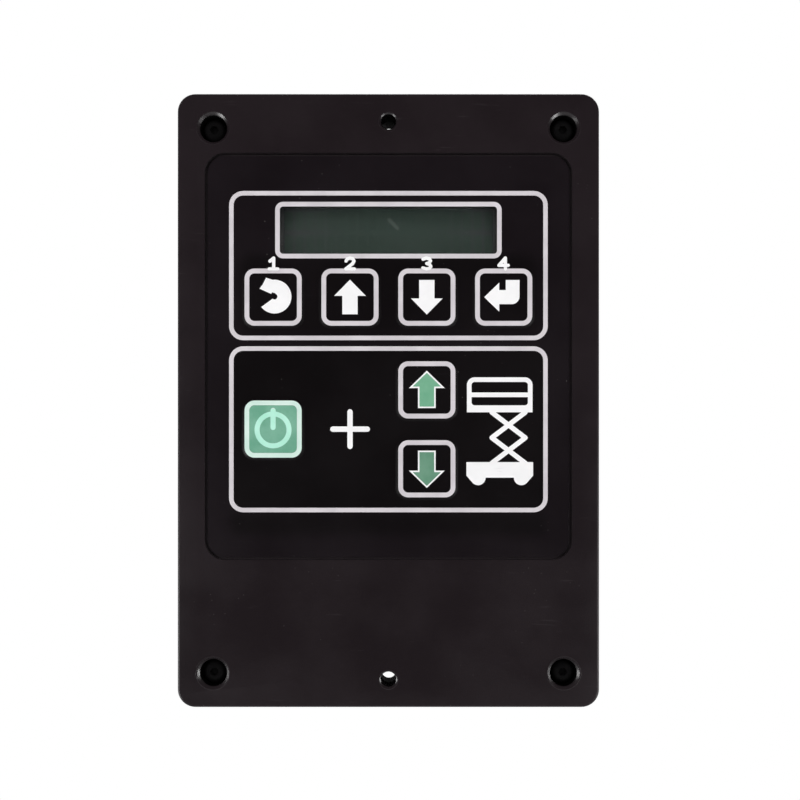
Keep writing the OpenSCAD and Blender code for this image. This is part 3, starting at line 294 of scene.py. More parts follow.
plainFinishes = {
    "housingPlastic": {"tones": [(0.014, 0.0135, 0.015), (0.022, 0.021, 0.023)], "grain": 0.7,
                       "depth": 0.05, "roughness": (0.44, 0.6), "specular": 0.35, "scuffs": 0.4,
                       "rubbed": (0.06, 0.06, 0.062), "dust": 0.4},
    "headerNylon": {"tones": [(0.018, 0.018, 0.02), (0.03, 0.03, 0.032)], "grain": 0.35,
                    "depth": 0.03, "roughness": (0.4, 0.55), "specular": 0.4, "scuffs": 0.5,
                    "rubbed": (0.09, 0.09, 0.09), "dust": 0.3},
    "carrierNylon": {"tones": [(0.045, 0.045, 0.05), (0.07, 0.07, 0.075)], "grain": 0.4,
                     "depth": 0.03, "roughness": (0.45, 0.6), "specular": 0.4, "scuffs": 0.2,
                     "rubbed": (0.12, 0.12, 0.12), "dust": 0.2},
    "ventNylon": {"tones": [(0.035, 0.035, 0.04), (0.055, 0.055, 0.06)], "grain": 0.4,
                  "depth": 0.03, "roughness": (0.42, 0.56), "specular": 0.4, "scuffs": 0.3,
                  "rubbed": (0.12, 0.12, 0.12), "dust": 0.3},
    "blackNylon": {"tones": [(0.012, 0.012, 0.012), (0.02, 0.02, 0.02)], "grain": 0.4,
                   "depth": 0.02, "roughness": (0.35, 0.5), "specular": 0.45, "scuffs": 0.2,
                   "rubbed": (0.05, 0.05, 0.05), "dust": 0.2},
    "ivoryNylon": {"tones": [(0.66, 0.62, 0.5), (0.76, 0.72, 0.6)], "grain": 0.4, "depth": 0.02,
                   "roughness": (0.35, 0.5), "specular": 0.45, "scuffs": 0.2,
                   "rubbed": (0.8, 0.78, 0.7), "dust": 0.2},
    "blackSteel": {"tones": [(0.0022, 0.0021, 0.0023), (0.0045, 0.0042, 0.0044)], "grain": 0.3,
                   "depth": 0.015, "roughness": (0.4, 0.55), "specular": 0.14, "scuffs": 0.5,
                   "rubbed": (0.02, 0.018, 0.018), "dust": 0.1},
    # painted shade: a near-black, dull lining that stands in for the shade in the mounting holes' bores
    "paintedBoreShade": {"tones": [(0.0012, 0.0009, 0.001), (0.0024, 0.0018, 0.002)], "grain": 0.4,
                   "depth": 0.04, "roughness": (0.85, 0.95), "specular": 0.03, "scuffs": 0.1,
                   "rubbed": (0.006, 0.005, 0.005), "dust": 0.0},
    "bezelSteel": {"tones": [(0.022, 0.022, 0.022), (0.034, 0.034, 0.034)], "grain": 0.25,
                   "depth": 0.01, "roughness": (0.35, 0.45), "specular": 0.45, "scuffs": 0.3,
                   "rubbed": (0.1, 0.1, 0.1), "dust": 0.1},
    "sealRubber": {"tones": [(0.024, 0.024, 0.026), (0.036, 0.036, 0.038)], "grain": 0.5,
                   "depth": 0.02, "roughness": (0.55, 0.7), "specular": 0.3, "scuffs": 0.1,
                   "rubbed": (0.07, 0.07, 0.07), "dust": 0.8},
    "foamRubber": {"tones": [(0.012, 0.012, 0.012), (0.026, 0.026, 0.026)], "grain": 0.6,
                   "depth": 0.12, "roughness": (0.75, 0.9), "specular": 0.2, "scuffs": 0.0,
                   "rubbed": (0.05, 0.05, 0.05), "dust": 0.6},
    "siliconeSeal": {"tones": [(0.36, 0.08, 0.04), (0.46, 0.12, 0.06)], "grain": 0.5, "depth": 0.02,
                     "roughness": (0.5, 0.62), "specular": 0.4, "scuffs": 0.1,
                     "rubbed": (0.5, 0.2, 0.12), "dust": 0.5},
    "chipResin": {"tones": [(0.011, 0.011, 0.011), (0.018, 0.018, 0.018)], "grain": 0.2,
                  "depth": 0.015, "roughness": (0.5, 0.65), "specular": 0.4, "scuffs": 0.3,
                  "rubbed": (0.06, 0.06, 0.06), "dust": 0.2},
    "relayCase": {"tones": [(0.016, 0.025, 0.065), (0.024, 0.035, 0.085)], "grain": 0.5,
                  "depth": 0.01, "roughness": (0.28, 0.4), "specular": 0.5, "scuffs": 0.3,
                  "rubbed": (0.08, 0.09, 0.14), "dust": 0.2},
    "capacitorSleeve": {"tones": [(0.016, 0.016, 0.026), (0.024, 0.024, 0.036)], "grain": 1.5,
                        "depth": 0.02, "roughness": (0.25, 0.38), "specular": 0.5, "scuffs": 0.2,
                        "rubbed": (0.07, 0.07, 0.08), "dust": 0.2},
    "ferrite": {"tones": [(0.035, 0.032, 0.032), (0.06, 0.055, 0.055)], "grain": 0.3, "depth": 0.03,
                "roughness": (0.5, 0.7), "specular": 0.4, "scuffs": 0.2,
                "rubbed": (0.12, 0.12, 0.12), "dust": 0.2},
    "ribbonFilm": {"tones": [(0.36, 0.36, 0.38), (0.44, 0.44, 0.46)], "grain": 0.8, "depth": 0.01,
                   "roughness": (0.4, 0.52), "specular": 0.4, "scuffs": 0.2,
                   "rubbed": (0.55, 0.55, 0.55), "dust": 0.2},
    "spacerFilm": {"tones": [(0.5, 0.5, 0.47), (0.58, 0.58, 0.55)], "grain": 1.0, "depth": 0.005,
                   "roughness": (0.4, 0.5), "specular": 0.4, "scuffs": 0.2,
                   "rubbed": (0.65, 0.65, 0.62), "dust": 0.1},
    "circuitFilm": {"tones": [(0.56, 0.56, 0.45), (0.66, 0.66, 0.54)], "grain": 1.0, "depth": 0.005,
                    "roughness": (0.25, 0.38), "specular": 0.5, "scuffs": 0.2,
                    "rubbed": (0.7, 0.7, 0.62), "dust": 0.1},
    "adhesiveFilm": {"tones": [(0.64, 0.61, 0.5), (0.72, 0.69, 0.58)], "grain": 2.0, "depth": 0.01,
                     "roughness": (0.5, 0.7), "specular": 0.3, "scuffs": 0.0,
                     "rubbed": (0.75, 0.72, 0.62), "dust": 0.4},
    "lightGuide": {"tones": [(0.6, 0.68, 0.55), (0.7, 0.78, 0.64)], "grain": 1.5, "depth": 0.01,
                   "roughness": (0.3, 0.42), "specular": 0.5, "scuffs": 0.1,
                   "rubbed": (0.75, 0.82, 0.7), "dust": 0.1},
}


def plainMaterial(name):
    values = plainFinishes[name]
    material, tree, sockets, place = newMaterial(name)
    finishSurface(tree, sockets, place, values, lambda grain: clouded(tree, grain, values["tones"]))
    return material


# Grain, rubbed lines and dust over a base colour that the caller works out from the grain
def finishSurface(tree, sockets, place, values, baseColour):
    grain = useGroup(tree, surfaceGrain, place=place, size=values["grain"])
    scuffs = useGroup(tree, rubbedLines, place=place, amount=values["scuffs"])["mask"]
    dust = useGroup(tree, settledDust, place=place, amount=values["dust"])["mask"]
    base = mixColours(tree, scuffs, baseColour(grain), colour(values["rubbed"]))
    feed(tree, sockets["Base Color"], mixColours(tree, dust, base, colour(dustSpecks["tone"])))
    dusty = calc(tree, "MULTIPLY", dust, dustSpecks["roughness"])
    cloudy = spread(tree, grain["cloud"], *values["roughness"])
    feed(tree, sockets["Roughness"], calc(tree, "ADD", cloudy, dusty, clamp=True))
    sockets["Specular IOR Level"].default_value = values["specular"]
    addBump(tree, sockets, grain["height"], values["depth"])


# Cover: black moulding, with painted shade down in its holes and painted light in the groove round the
# overlay, paling the groove's shade
coverFinish = {
    "tones": [(0.0118, 0.0078, 0.0096), (0.016, 0.011, 0.0132)], "grain": 0.45, "depth": 0.035,
    "roughness": (0.4, 0.54), "specular": 0.2, "scuffs": 0.3, "rubbed": (0.045, 0.038, 0.041),
    "dust": 0.2, "coverRadius": 7.0, "rim": (-3.0, -4.0), "back": (1.0, 3.0),
    # the hole range and the tone after it paint shade, near-black, deep down in the holes
    "hole": (0.35, 1.5), "paintedHoleShadeTone": (0.0012, 0.0009, 0.001), "holeRoughness": 0.95,
    # the groove range, its depth and its tone paint light: a paler tone in the groove round the overlay that
    # pales its shade
    "overlayRadius": 6.6, "paintedGrooveLight": (1.6, 1.3), "grooveDepth": (0.1, 0.8),
    "paintedGrooveLightTone": (0.03, 0.024, 0.027),
}


# The outline of a node's box in the plane of the face, in millimetres
def outlineOfBox(name, radius):
    low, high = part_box(name)
    return {"middleX": (low.x + high.x) / 2 / mm, "middleZ": (low.z + high.z) / 2 / mm,
            "halfX": (high.x - low.x) / 2 / mm, "halfZ": (high.z - low.z) / 2 / mm,
            "radius": radius}


# Painted shade in the holes: a hole is deeper than the face, inside the cover's rim and in front of its
# back, and is painted near-black there
def coverMaterial(name, values):
    material, tree, sockets, place = newMaterial(name)
    level = addNode(tree, "ShaderNodeSeparateXYZ", {"Vector": place}).outputs["Y"]
    face = coverFace / mm
    depth = calc(tree, "SUBTRACT", toMillimetres(tree, level), face)
    coverEdge = outlineAt(tree, place, outlineOfBox("face_cover", values["coverRadius"]))
    overlayEdge = outlineAt(tree, place, outlineOfBox("graphic_overlay", values["overlayRadius"]))
    # painted light: the groove round the overlay, deeper than the face, is painted paler, which pales its
    # shade
    paintedGrooveLight = easeBetween(tree, overlayEdge, *values["paintedGrooveLight"])
    # mask of the painted shade deep in the holes, left out of the groove
    hole = calc(tree, "MULTIPLY", easeBetween(tree, coverEdge, *values["rim"]),
                easeBetween(tree, depth, *(-face - short for short in values["back"])))
    hole = calc(tree, "MULTIPLY", hole, easeBetween(tree, depth, *values["hole"]))
    hole = calc(tree, "MULTIPLY", hole, calc(tree, "SUBTRACT", 1.0, paintedGrooveLight))
    paintedGrooveLight = calc(tree, "MULTIPLY", paintedGrooveLight, easeBetween(tree, depth, *values["grooveDepth"]))

    def baseColour(grain):
        base = clouded(tree, grain, values["tones"])
        base = mixColours(tree, paintedGrooveLight, base, colour(values["paintedGrooveLightTone"]))
        return mixColours(tree, hole, base, colour(values["paintedHoleShadeTone"]))

    finishSurface(tree, sockets, place, values, baseColour)
    finished = sockets["Roughness"].links[0].from_socket
    rougher = calc(tree, "MULTIPLY", hole, values["holeRoughness"])
    feed(tree, sockets["Roughness"], calc(tree, "MAXIMUM", finished, rougher))
    return material


# Bare metals: fine turning or rolling lines in the roughness and height

metalLines = {"scale": 120.0, "detail": 3.0, "grain": 0.8, "cloudSize": 6.0, "depth": 0.01}
metalFinishes = {
    "insertBrass": {"tones": [(0.6, 0.43, 0.18), (0.74, 0.56, 0.27)], "roughness": (0.22, 0.38),
                    "stretch": (4.0, 60.0, 4.0)},
    "zincSteel": {"tones": [(0.55, 0.55, 0.53), (0.68, 0.68, 0.66)], "roughness": (0.28, 0.42),
                  "stretch": (10.0, 30.0, 10.0)},
    "pinMetal": {"tones": [(0.64, 0.62, 0.57), (0.76, 0.74, 0.69)], "roughness": (0.24, 0.4),
                 "stretch": (40.0, 4.0, 40.0)},
    "domeSteel": {"tones": [(0.62, 0.62, 0.61), (0.74, 0.74, 0.73)], "roughness": (0.18, 0.3),
                  "stretch": (40.0, 4.0, 4.0)},
}


def metalMaterial(name):
    values = {**metalLines, **metalFinishes[name]}
    material, tree, sockets, place = newMaterial(name)
    stretched = addNode(tree, "ShaderNodeMapping", {"Vector": place, "Scale": values["stretch"]})
    lines = noiseAt(tree, stretched.outputs[0], values["scale"], Detail=values["detail"])
    grain = grainAt(tree, place, values)
    feed(tree, sockets["Base Color"], clouded(tree, grain, values["tones"]))
    feed(tree, sockets["Roughness"], spread(tree, lines, *values["roughness"]))
    sockets["Metallic"].default_value = 1.0
    addBump(tree, sockets, lines, values["depth"])
    return material


# Circuit boards: tracks under green solder mask

boardTracks = {"randomness": 0.35, "edge": (0.78, 0.84), "stain": 0.3, "grain": 0.3,
               "cloudSize": 12.0, "roughness": (0.25, 0.35), "depth": 0.03}
laminates = {
    "boardLaminate": {"mask": (0.012, 0.085, 0.04), "track": (0.03, 0.15, 0.07), "pitch": 2.2},
    "displayLaminate": {"mask": (0.016, 0.09, 0.045), "track": (0.035, 0.16, 0.08), "pitch": 1.6},
}


def laminateMaterial(name):
    values = {**boardTracks, **laminates[name]}
    material, tree, sockets, place = newMaterial(name)
    pattern = {"Scale": 1 / (values["pitch"] * mm), "Randomness": values["randomness"]}
    cells = addNode(tree, "ShaderNodeTexVoronoi", {"Vector": place, **pattern},
                    distance="MANHATTAN", feature="F2")
    tracks = easeBetween(tree, cells.outputs["Distance"], *values["edge"])
    grain = grainAt(tree, place, values)
    stained = calc(tree, "MULTIPLY", grain["cloud"], values["stain"])
    mask = mixColours(tree, stained, colour(values["mask"]), colour(values["track"]))
    feed(tree, sockets["Base Color"], mixColours(tree, tracks, mask, colour(values["track"])))
    feed(tree, sockets["Roughness"], spread(tree, grain["cloud"], *values["roughness"]))
    addBump(tree, sockets, tracks, values["depth"])
    return material


# Graphic overlay: velvet film, with painted shade round the menu keys and along its foot, and darker inside
# the lower printed frame

overlayFilm = {
    "tones": [(0.0072, 0.0047, 0.0063), (0.0098, 0.0066, 0.0087)],
    # the key row tones and the dark areas paint shade round the menu keys and along the film's foot
    "paintedShadeTones": [(0.0042, 0.0028, 0.0035), (0.0056, 0.0038, 0.0047)],
    "insideTones": [(0.0036, 0.0025, 0.003), (0.005, 0.0035, 0.0042)],
    "paintedShadeAreas": [{"middleX": 0.0, "middleZ": 41.5, "halfX": 57.0, "halfZ": 14.0, "radius": 4.0},
                  {"middleX": 0.0, "middleZ": -48.0, "halfX": 60.0, "halfZ": 3.0, "radius": 2.0}],
    "lowerFrame": {"middleX": -0.2, "middleZ": -11.15, "halfX": 61.2, "halfZ": 31.6, "radius": 5.0},
    "frameEdge": (0.6, -0.6), "areaEdge": (5.0, -2.0),
    "grain": 0.3, "depth": 0.012, "roughness": (0.4, 0.52), "specular": 0.18, "scuffs": 0.12,
    "rubbed": (0.02, 0.018, 0.02), "dust": 0.35,
}


def filmMaterial():
    values = overlayFilm
    material, tree, sockets, place = newMaterial("overlayFilm")
    inside = easeBetween(tree, outlineAt(tree, place, values["lowerFrame"]), *values["frameEdge"])
    edges = [outlineAt(tree, place, area) for area in values["paintedShadeAreas"]]
    # painted shade round the menu keys and along the foot
    paintedShade = calc(tree, "MAXIMUM",
                  *(easeBetween(tree, edge, *values["areaEdge"]) for edge in edges))

    def baseColour(grain):
        outer, shadedFilm, enclosed = (clouded(tree, grain, values[tones])
                                   for tones in ("tones", "paintedShadeTones", "insideTones"))
        return mixColours(tree, inside, mixColours(tree, paintedShade, outer, shadedFilm), enclosed)

    finishSurface(tree, sockets, place, values, baseColour)
    return material


# Printed ink: a line colour, and a brighter one inside the given outlines

inks = {
    "line": [(0.645, 0.605, 0.635), (0.725, 0.685, 0.715)],
    "sign": [(0.96, 0.955, 0.96), (1.0, 0.995, 1.0)],
    "mintLine": [(0.66, 0.86, 0.77), (0.76, 0.92, 0.84)],
    "mintSign": [(0.44, 0.86, 0.68), (0.54, 0.94, 0.78)],
    "enableField": [(0.145, 0.39, 0.265), (0.21, 0.47, 0.34)],
    "raiseArrow": [(0.155, 0.42, 0.26), (0.22, 0.49, 0.32)],
    "lowerArrow": [(0.115, 0.28, 0.18), (0.165, 0.34, 0.235)],
}
printedInk = {"grain": 0.25, "cloudSize": 9.0, "signEdge": (0.3, -0.3), "signHalf": 7.9,
              "signRadius": 1.0, "wearSize": 0.6, "wear": 0.25, "wornTone": (0.35, 0.33, 0.34),
              "roughness": (0.45, 0.55), "specular": 0.3, "depth": 0.01}


def inkMaterial(name, lineTones, signTones, fields):
    values = printedInk
    material, tree, sockets, place = newMaterial(name)
    grain = grainAt(tree, place, values)
    base, sign = clouded(tree, grain, lineTones), clouded(tree, grain, signTones)
    for field in fields:
        within = easeBetween(tree, outlineAt(tree, place, field), *values["signEdge"])
        base = mixColours(tree, within, base, sign)
    worn = useGroup(tree, rubbedLines, place=place, size=values["wearSize"],
                    amount=values["wear"])["mask"]
    feed(tree, sockets["Base Color"], mixColours(tree, worn, base, colour(values["wornTone"])))
    feed(tree, sockets["Roughness"], spread(tree, grain["cloud"], *values["roughness"]))
    sockets["Specular IOR Level"].default_value = values["specular"]
    addBump(tree, sockets, grain["height"], values["depth"])
    return material


# Display: grey-green cell with two rows of faint character fields, a painted shadow of the window's frame
# round its edge, deepest along the top, and a painted highlight streak

displayCell = {
    "tone": (0.026, 0.039, 0.032), "sideTone": (0.031, 0.033, 0.034), "sides": (12.0, 42.0),
    # shade: dark tone for both the broad clouds and the painted shadow of the window's frame
    "shade": (0.012, 0.014, 0.016), "cloudShade": 0.15, "fieldTone": (0.023, 0.034, 0.028),
    "fields": {"X": {"pitch": 4.15, "half": 1.6, "middle": 0.0, "count": 20},
               "Z": {"pitch": 9.1, "half": 3.6, "middle": 66.75, "count": 2}},
    "fieldEdge": 0.08,
    # streak and its tone: a painted highlight, a short pale streak over the cell
    "streak": {"middleX": 1.9, "middleZ": 70.2, "halfX": 2.6, "halfZ": 0.4, "radius": 0.35},
    "paintedHighlightTone": (0.075, 0.09, 0.085), "streakTurn": -0.8, "streakEdge": (0.9, -0.3),
    # windowRadius and the shade sizes place the painted shadow of the window's frame, lowered so it falls
    # deepest along the top
    "streakShare": 0.6, "windowRadius": 1.0, "shadeDrop": 1.3, "shadeIn": 0.6,
    "shadeEdge": (-0.9, 0.7), "grain": 0.4, "cloudSize": 25.0, "roughness": (0.2, 0.26),
    "specular": 0.3, "depth": 0.002,
}


# Mask of a row of equal fields along one axis, with a place in millimetres on that axis
def fieldMask(tree, along, edge, pitch, half, middle, count):
    away = calc(tree, "SUBTRACT", along, middle)
    turns = calc(tree, "DIVIDE", calc(tree, "ADD", away, pitch * count / 2), pitch)
    offset = calc(tree, "ABSOLUTE", calc(tree, "SUBTRACT", calc(tree, "FRACT", turns), 0.5))
    within = easeBetween(tree, calc(tree, "MULTIPLY", offset, pitch), half + edge, half - edge)
    inRow = calc(tree, "LESS_THAN", calc(tree, "ABSOLUTE", away), pitch * count / 2)
    return calc(tree, "MULTIPLY", within, inRow)


# Mask of a painted highlight: a short pale streak, turned in the plane of the face
def paintedHighlightMask(tree, place, values):
    streak = values["streak"]
    turned = addNode(tree, "ShaderNodeVectorRotate",
                     {"Vector": place, "Angle": values["streakTurn"]}, rotation_type="Y_AXIS")
    turned.inputs["Center"].default_value = streak["middleX"] * mm, 0.0, streak["middleZ"] * mm
    within = easeBetween(tree, outlineAt(tree, turned.outputs[0], streak), *values["streakEdge"])
    return calc(tree, "MULTIPLY", within, values["streakShare"])


def displayMaterial():
    values = displayCell
    material, tree, sockets, place = newMaterial("displayCell")
    split = addNode(tree, "ShaderNodeSeparateXYZ", {"Vector": place}).outputs
    along = {axis: toMillimetres(tree, split[axis]) for axis in "XZ"}
    inField = calc(tree, "MULTIPLY", *(fieldMask(tree, along[axis], values["fieldEdge"], **field)
                                       for axis, field in values["fields"].items()))
    grain = grainAt(tree, place, values)
    aside = easeBetween(tree, calc(tree, "ABSOLUTE", along["X"]), *values["sides"])
    base = mixColours(tree, aside, colour(values["tone"]), colour(values["sideTone"]))
    cloudy = calc(tree, "MULTIPLY", grain["cloud"], values["cloudShade"])
    base = mixColours(tree, cloudy, base, colour(values["shade"]))
    base = mixColours(tree, inField, base, colour(values["fieldTone"]))
    # painted highlight: a short pale streak over the cell
    base = mixColours(tree, paintedHighlightMask(tree, place, values), base, colour(values["paintedHighlightTone"]))
    # painted shadow of the window's frame: the cell darkens outside the window's outline, lowered and
    # narrowed so the shadow is deepest along the top, thin at the sides and absent at the foot
    lit = outlineOfBox("display_window", values["windowRadius"])
    lit["middleZ"] -= values["shadeDrop"]
    lit["halfX"] -= values["shadeIn"]
    paintedFrameShadow = easeBetween(tree, outlineAt(tree, place, lit), *values["shadeEdge"])
    feed(tree, sockets["Base Color"], mixColours(tree, paintedFrameShadow, base, colour(values["shade"])))
    feed(tree, sockets["Roughness"], spread(tree, grain["cloud"], *values["roughness"]))
    sockets["Specular IOR Level"].default_value = values["specular"]
    addBump(tree, sockets, grain["height"], values["depth"])
    return material


# Window: clear pane with faint scuffs that lets light through to the display

clearWindow = {"tones": [(0.94, 0.965, 0.955), (1.0, 1.0, 1.0)], "roughness": (0.03, 0.13),
               "grain": 0.6, "cloudSize": 18.0, "scuffSize": 0.8, "scuffs": 0.5, "ior": 1.4,
               "specular": 0.5, "depth": 0.0004}


def windowMaterial():
    values = clearWindow
    material, tree, sockets, place = newMaterial("clearWindow")
    grain = grainAt(tree, place, values)
    scuffs = useGroup(tree, rubbedLines, place=place, size=values["scuffSize"],
                      amount=values["scuffs"])["mask"]
    feed(tree, sockets["Base Color"], clouded(tree, grain, values["tones"]))
    feed(tree, sockets["Roughness"], spread(tree, scuffs, *values["roughness"]))
    sockets["Transmission Weight"].default_value = 1.0
    sockets["IOR"].default_value = values["ior"]
    sockets["Specular IOR Level"].default_value = values["specular"]
    addBump(tree, sockets, grain["height"], values["depth"])
    clear = tree.nodes.new("ShaderNodeBsdfTransparent")
    isShadow = tree.nodes.new("ShaderNodeLightPath").outputs["Is Shadow Ray"]
    mixed = tree.nodes.new("ShaderNodeMixShader")
    output = next(node for node in tree.nodes if node.type == "OUTPUT_MATERIAL")
    shader = next(node for node in tree.nodes if node.type == "BSDF_PRINCIPLED")
    for source, socket in zip((isShadow, shader.outputs[0], clear.outputs[0]), mixed.inputs):
        tree.links.new(source, socket)
    tree.links.new(mixed.outputs[0], output.inputs["Surface"])
    return material


# The CAD nodes' own materials

def setMaterial(piece, material):
    piece.data.materials.clear()
    piece.data.materials.append(material)


# The square inside a key's border, where its symbol is
def keyField(name):
    half = printedInk["signHalf"]
    return {**outlineOfBox(name + "_key", printedInk["signRadius"]), "halfX": half, "halfZ": half}


finishOfNode = {
    "housingPlastic": ["rear_housing"],
    "headerNylon": ["header_left", "header_right"],
    "carrierNylon": ["pin_carriers"],
    "ventNylon": ["vent_plug"],
    "blackNylon": ["display_sockets"],
    "ivoryNylon": ["keypad_socket"],
    "blackSteel": ["corner_screws"],
    "bezelSteel": ["display_bezel"],
    "sealRubber": ["housing_gasket"],
    "foamRubber": ["panel_gasket", "window_gasket"],
    "siliconeSeal": ["header_seals"],
    "chipResin": ["processor", "driver_chips", "power_transistors", "display_chips"],
    "relayCase": ["relays"],
    "capacitorSleeve": ["capacitors"],
    "ferrite": ["inductor"],
    "ribbonFilm": ["display_ribbon"],
    "spacerFilm": ["keypad_spacer"],
    "circuitFilm": ["keypad_circuit"],
    "adhesiveFilm": ["keypad_adhesive"],
    "lightGuide": ["display_backlight"],
    "insertBrass": ["threaded_inserts"],
    "zincSteel": ["board_screws", "display_screws"],
    "pinMetal": ["header_pins"],
    "domeSteel": [name + "_dome" for name in keyNames],
    "boardLaminate": ["main_board"],
    "displayLaminate": ["display_board"],
}
finishes = {}
for finish, members in finishOfNode.items():
    if finish in plainFinishes:
        finishes[finish] = plainMaterial(finish)
    elif finish in metalFinishes:
        finishes[finish] = metalMaterial(finish)
    else:
        finishes[finish] = laminateMaterial(finish)
    for member in members:
        setMaterial(nodes[member], finishes[finish])

setMaterial(nodes["face_cover"], coverMaterial("coverPlastic", coverFinish))
film = filmMaterial()
setMaterial(nodes["graphic_overlay"], film)
setMaterial(nodes["display_glass"], displayMaterial())
setMaterial(nodes["display_window"], windowMaterial())

overlaySigns = [
    {"middleX": 43.5, "middleZ": -10.3, "halfX": 14.5, "halfZ": 23.0, "radius": 1.0},
    {"middleX": -15.0, "middleZ": -11.2, "halfX": 9.0, "halfZ": 9.0, "radius": 1.0},
]
overlayInk = inkMaterial("overlayInk", inks["line"], inks["sign"], overlaySigns)
setMaterial(nodes["overlay_print"], overlayInk)
for name, ink in [("enable_key_field", "enableField"), ("raise_key_arrow", "raiseArrow"),
                  ("lower_key_arrow", "lowerArrow")]:
    setMaterial(nodes[name], inkMaterial(ink + "Ink", inks[ink], inks[ink], []))
digitInk = inkMaterial("digitInk", inks["sign"], inks["sign"], [])
for name in keyNames:
    setMaterial(nodes[name + "_key"], film)
    line, sign = ("mintLine", "mintSign") if name == "enable" else ("line", "sign")
    setMaterial(nodes[name + "_key_print"],
                inkMaterial(name + "KeyInk", inks[line], inks[sign], [keyField(name)]))
print("materials set:", len(bpy.data.materials))


# Meshes

meshCleaning = {"merge": 0.002, "seam": 0.001, "flat": 0.2,
                "dropped": ("custom_normal", "sharp_edge", "sharp_face")}


def linkPiece(name, mesh, material):
    mesh.shade_smooth()
    piece = bpy.data.objects.new(name, mesh)
    bpy.context.scene.collection.objects.link(piece)
    setMaterial(piece, material)
    return piece


def meshPiece(name, points, faces, material):
    mesh = bpy.data.meshes.new(name)
    mesh.from_pydata(points.tolist(), [], faces.tolist())
    return linkPiece(name, mesh, material)


# Quads of a grid of points whose rows are rings. With closedRows the last ring meets the first
def gridFaces(rows, columns, closedRows):
    row = np.arange(rows if closedRows else rows - 1)
    r, c = np.meshgrid(row, np.arange(columns), indexing="ij")
    nextR, nextC = (r + 1) % rows, (c + 1) % columns
    corners = [(r, c), (r, nextC), (nextR, nextC), (nextR, c)]
    return np.stack([i * columns + j for i, j in corners], axis=-1).reshape(-1, 4)


# Parts of points and faces joined as one: the faces count on from part to part
def joinParts(parts):
    points, faces = zip(*parts)
    starts = np.cumsum([0] + [len(part) for part in points[:-1]])
    counted = [part + start for part, start in zip(faces, starts)]
    return np.concatenate(points), np.concatenate(counted)


def closeSeams(piece):
    work = bmesh.new()
    work.from_mesh(piece.data)
    bmesh.ops.remove_doubles(work, verts=work.verts, dist=meshCleaning["seam"] * mm)
    bmesh.ops.recalc_face_normals(work, faces=work.faces)
    work.to_mesh(piece.data)
    work.free()


# A copy of a node's mesh, merged and with its flat faces joined, that stands for the node
def copyNode(node, name):
    source = nodes[node]
    work = bmesh.new()
    work.from_mesh(source.data)
    bmesh.ops.remove_doubles(work, verts=work.verts, dist=meshCleaning["merge"] * mm)
    bmesh.ops.dissolve_limit(work, angle_limit=math.radians(meshCleaning["flat"]),
                             verts=work.verts, edges=work.edges)
    mesh = bpy.data.meshes.new(name)
    work.to_mesh(mesh)
    work.free()
    for extra in [a.name for a in mesh.attributes if a.name in meshCleaning["dropped"]]:
        mesh.attributes.remove(mesh.attributes[extra])
    piece = linkPiece(name, mesh, source.data.materials[0])
    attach(piece, "root")
    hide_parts(node)
    return piece


# Edges: copies of seven nodes with their sharp edges, from so many degrees, rounded a little

anyEdge = {"sharp": 32, "segments": 2}
softEdges = {
    "face_cover": {"piece": "faceCoverMoulding", "slot": "cover_plastic", "width": 0.45,
                   "segments": 3},
    "graphic_overlay": {"piece": "overlayFilm", "slot": "overlay_film", "width": 0.12},
    "rear_housing": {"piece": "rearHousingMoulding", "slot": "housing_plastic", "width": 0.4},
    "header_left": {"piece": "leftHeaderMoulding", "slot": "header_nylon", "width": 0.3},
    "header_right": {"piece": "rightHeaderMoulding", "slot": "header_nylon", "width": 0.3},
    "corner_screws": {"piece": "cornerScrewHeads", "slot": "black_steel", "width": 0.15},
    "vent_plug": {"piece": "ventPlugMoulding", "slot": "vent_nylon", "width": 0.2},
}


def soften(node, values):
    piece = copyNode(node, values["piece"])
    bevel = piece.modifiers.new("edges", "BEVEL")
    bevel.width = values["width"] * mm
    bevel.segments = values["segments"]
    bevel.limit_method = "ANGLE"
    bevel.angle_limit = math.radians(values["sharp"])
    bevel.harden_normals = True


for node, values in softEdges.items():
    soften(node, {**anyEdge, **values})
print("edges rounded on", len(softEdges), "pieces")


def makeSnapDome(name):
    piece = copyNode(name + "_dome", name + "SnapDome")
    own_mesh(piece)


for name in keyNames:
    makeSnapDome(name)
print("snap domes made")


# Key skirts: the overlay's film drawn up to each key, as a closed band over the gap

keySkirt = {"beyond": 0.58, "within": 0.52, "innerRadius": 4.05, "low": -15.712, "high": -16.118,
            "thickness": 0.05, "lip": 0.008, "across": 14, "perCorner": 10}


# Middle and half width of a key's tile, in millimetres
def tileOf(name):
    tile = outlineOfBox(name + "_key", 0.0)
    return tile["middleX"], tile["middleZ"], tile["halfX"]


# Points of a rounded square of the given half width, with even steps round each corner
def roundedSquare(half, radius, perCorner):
    quarter = np.linspace(0, np.pi / 2, perCorner)
    angles = np.concatenate([quarter + turn * np.pi / 2 for turn in range(4)])
    diagonals = np.repeat(np.arange(4) * np.pi / 2 + np.pi / 4, perCorner)
    x = np.sign(np.cos(diagonals)) * (half - radius) + radius * np.cos(angles)
    z = np.sign(np.sin(diagonals)) * (half - radius) + radius * np.sin(angles)
    return x, z


# The band's level eases from the overlay's at its outer edge to the key's at its inner edge:
# y = low + (high - low) * (3 t^2 - 2 t^3), with t from 0 at the outer to 1 at the inner edge
def skirtLevel(t):
    return keySkirt["low"] + (keySkirt["high"] - keySkirt["low"]) * (3 * t**2 - 2 * t**3)


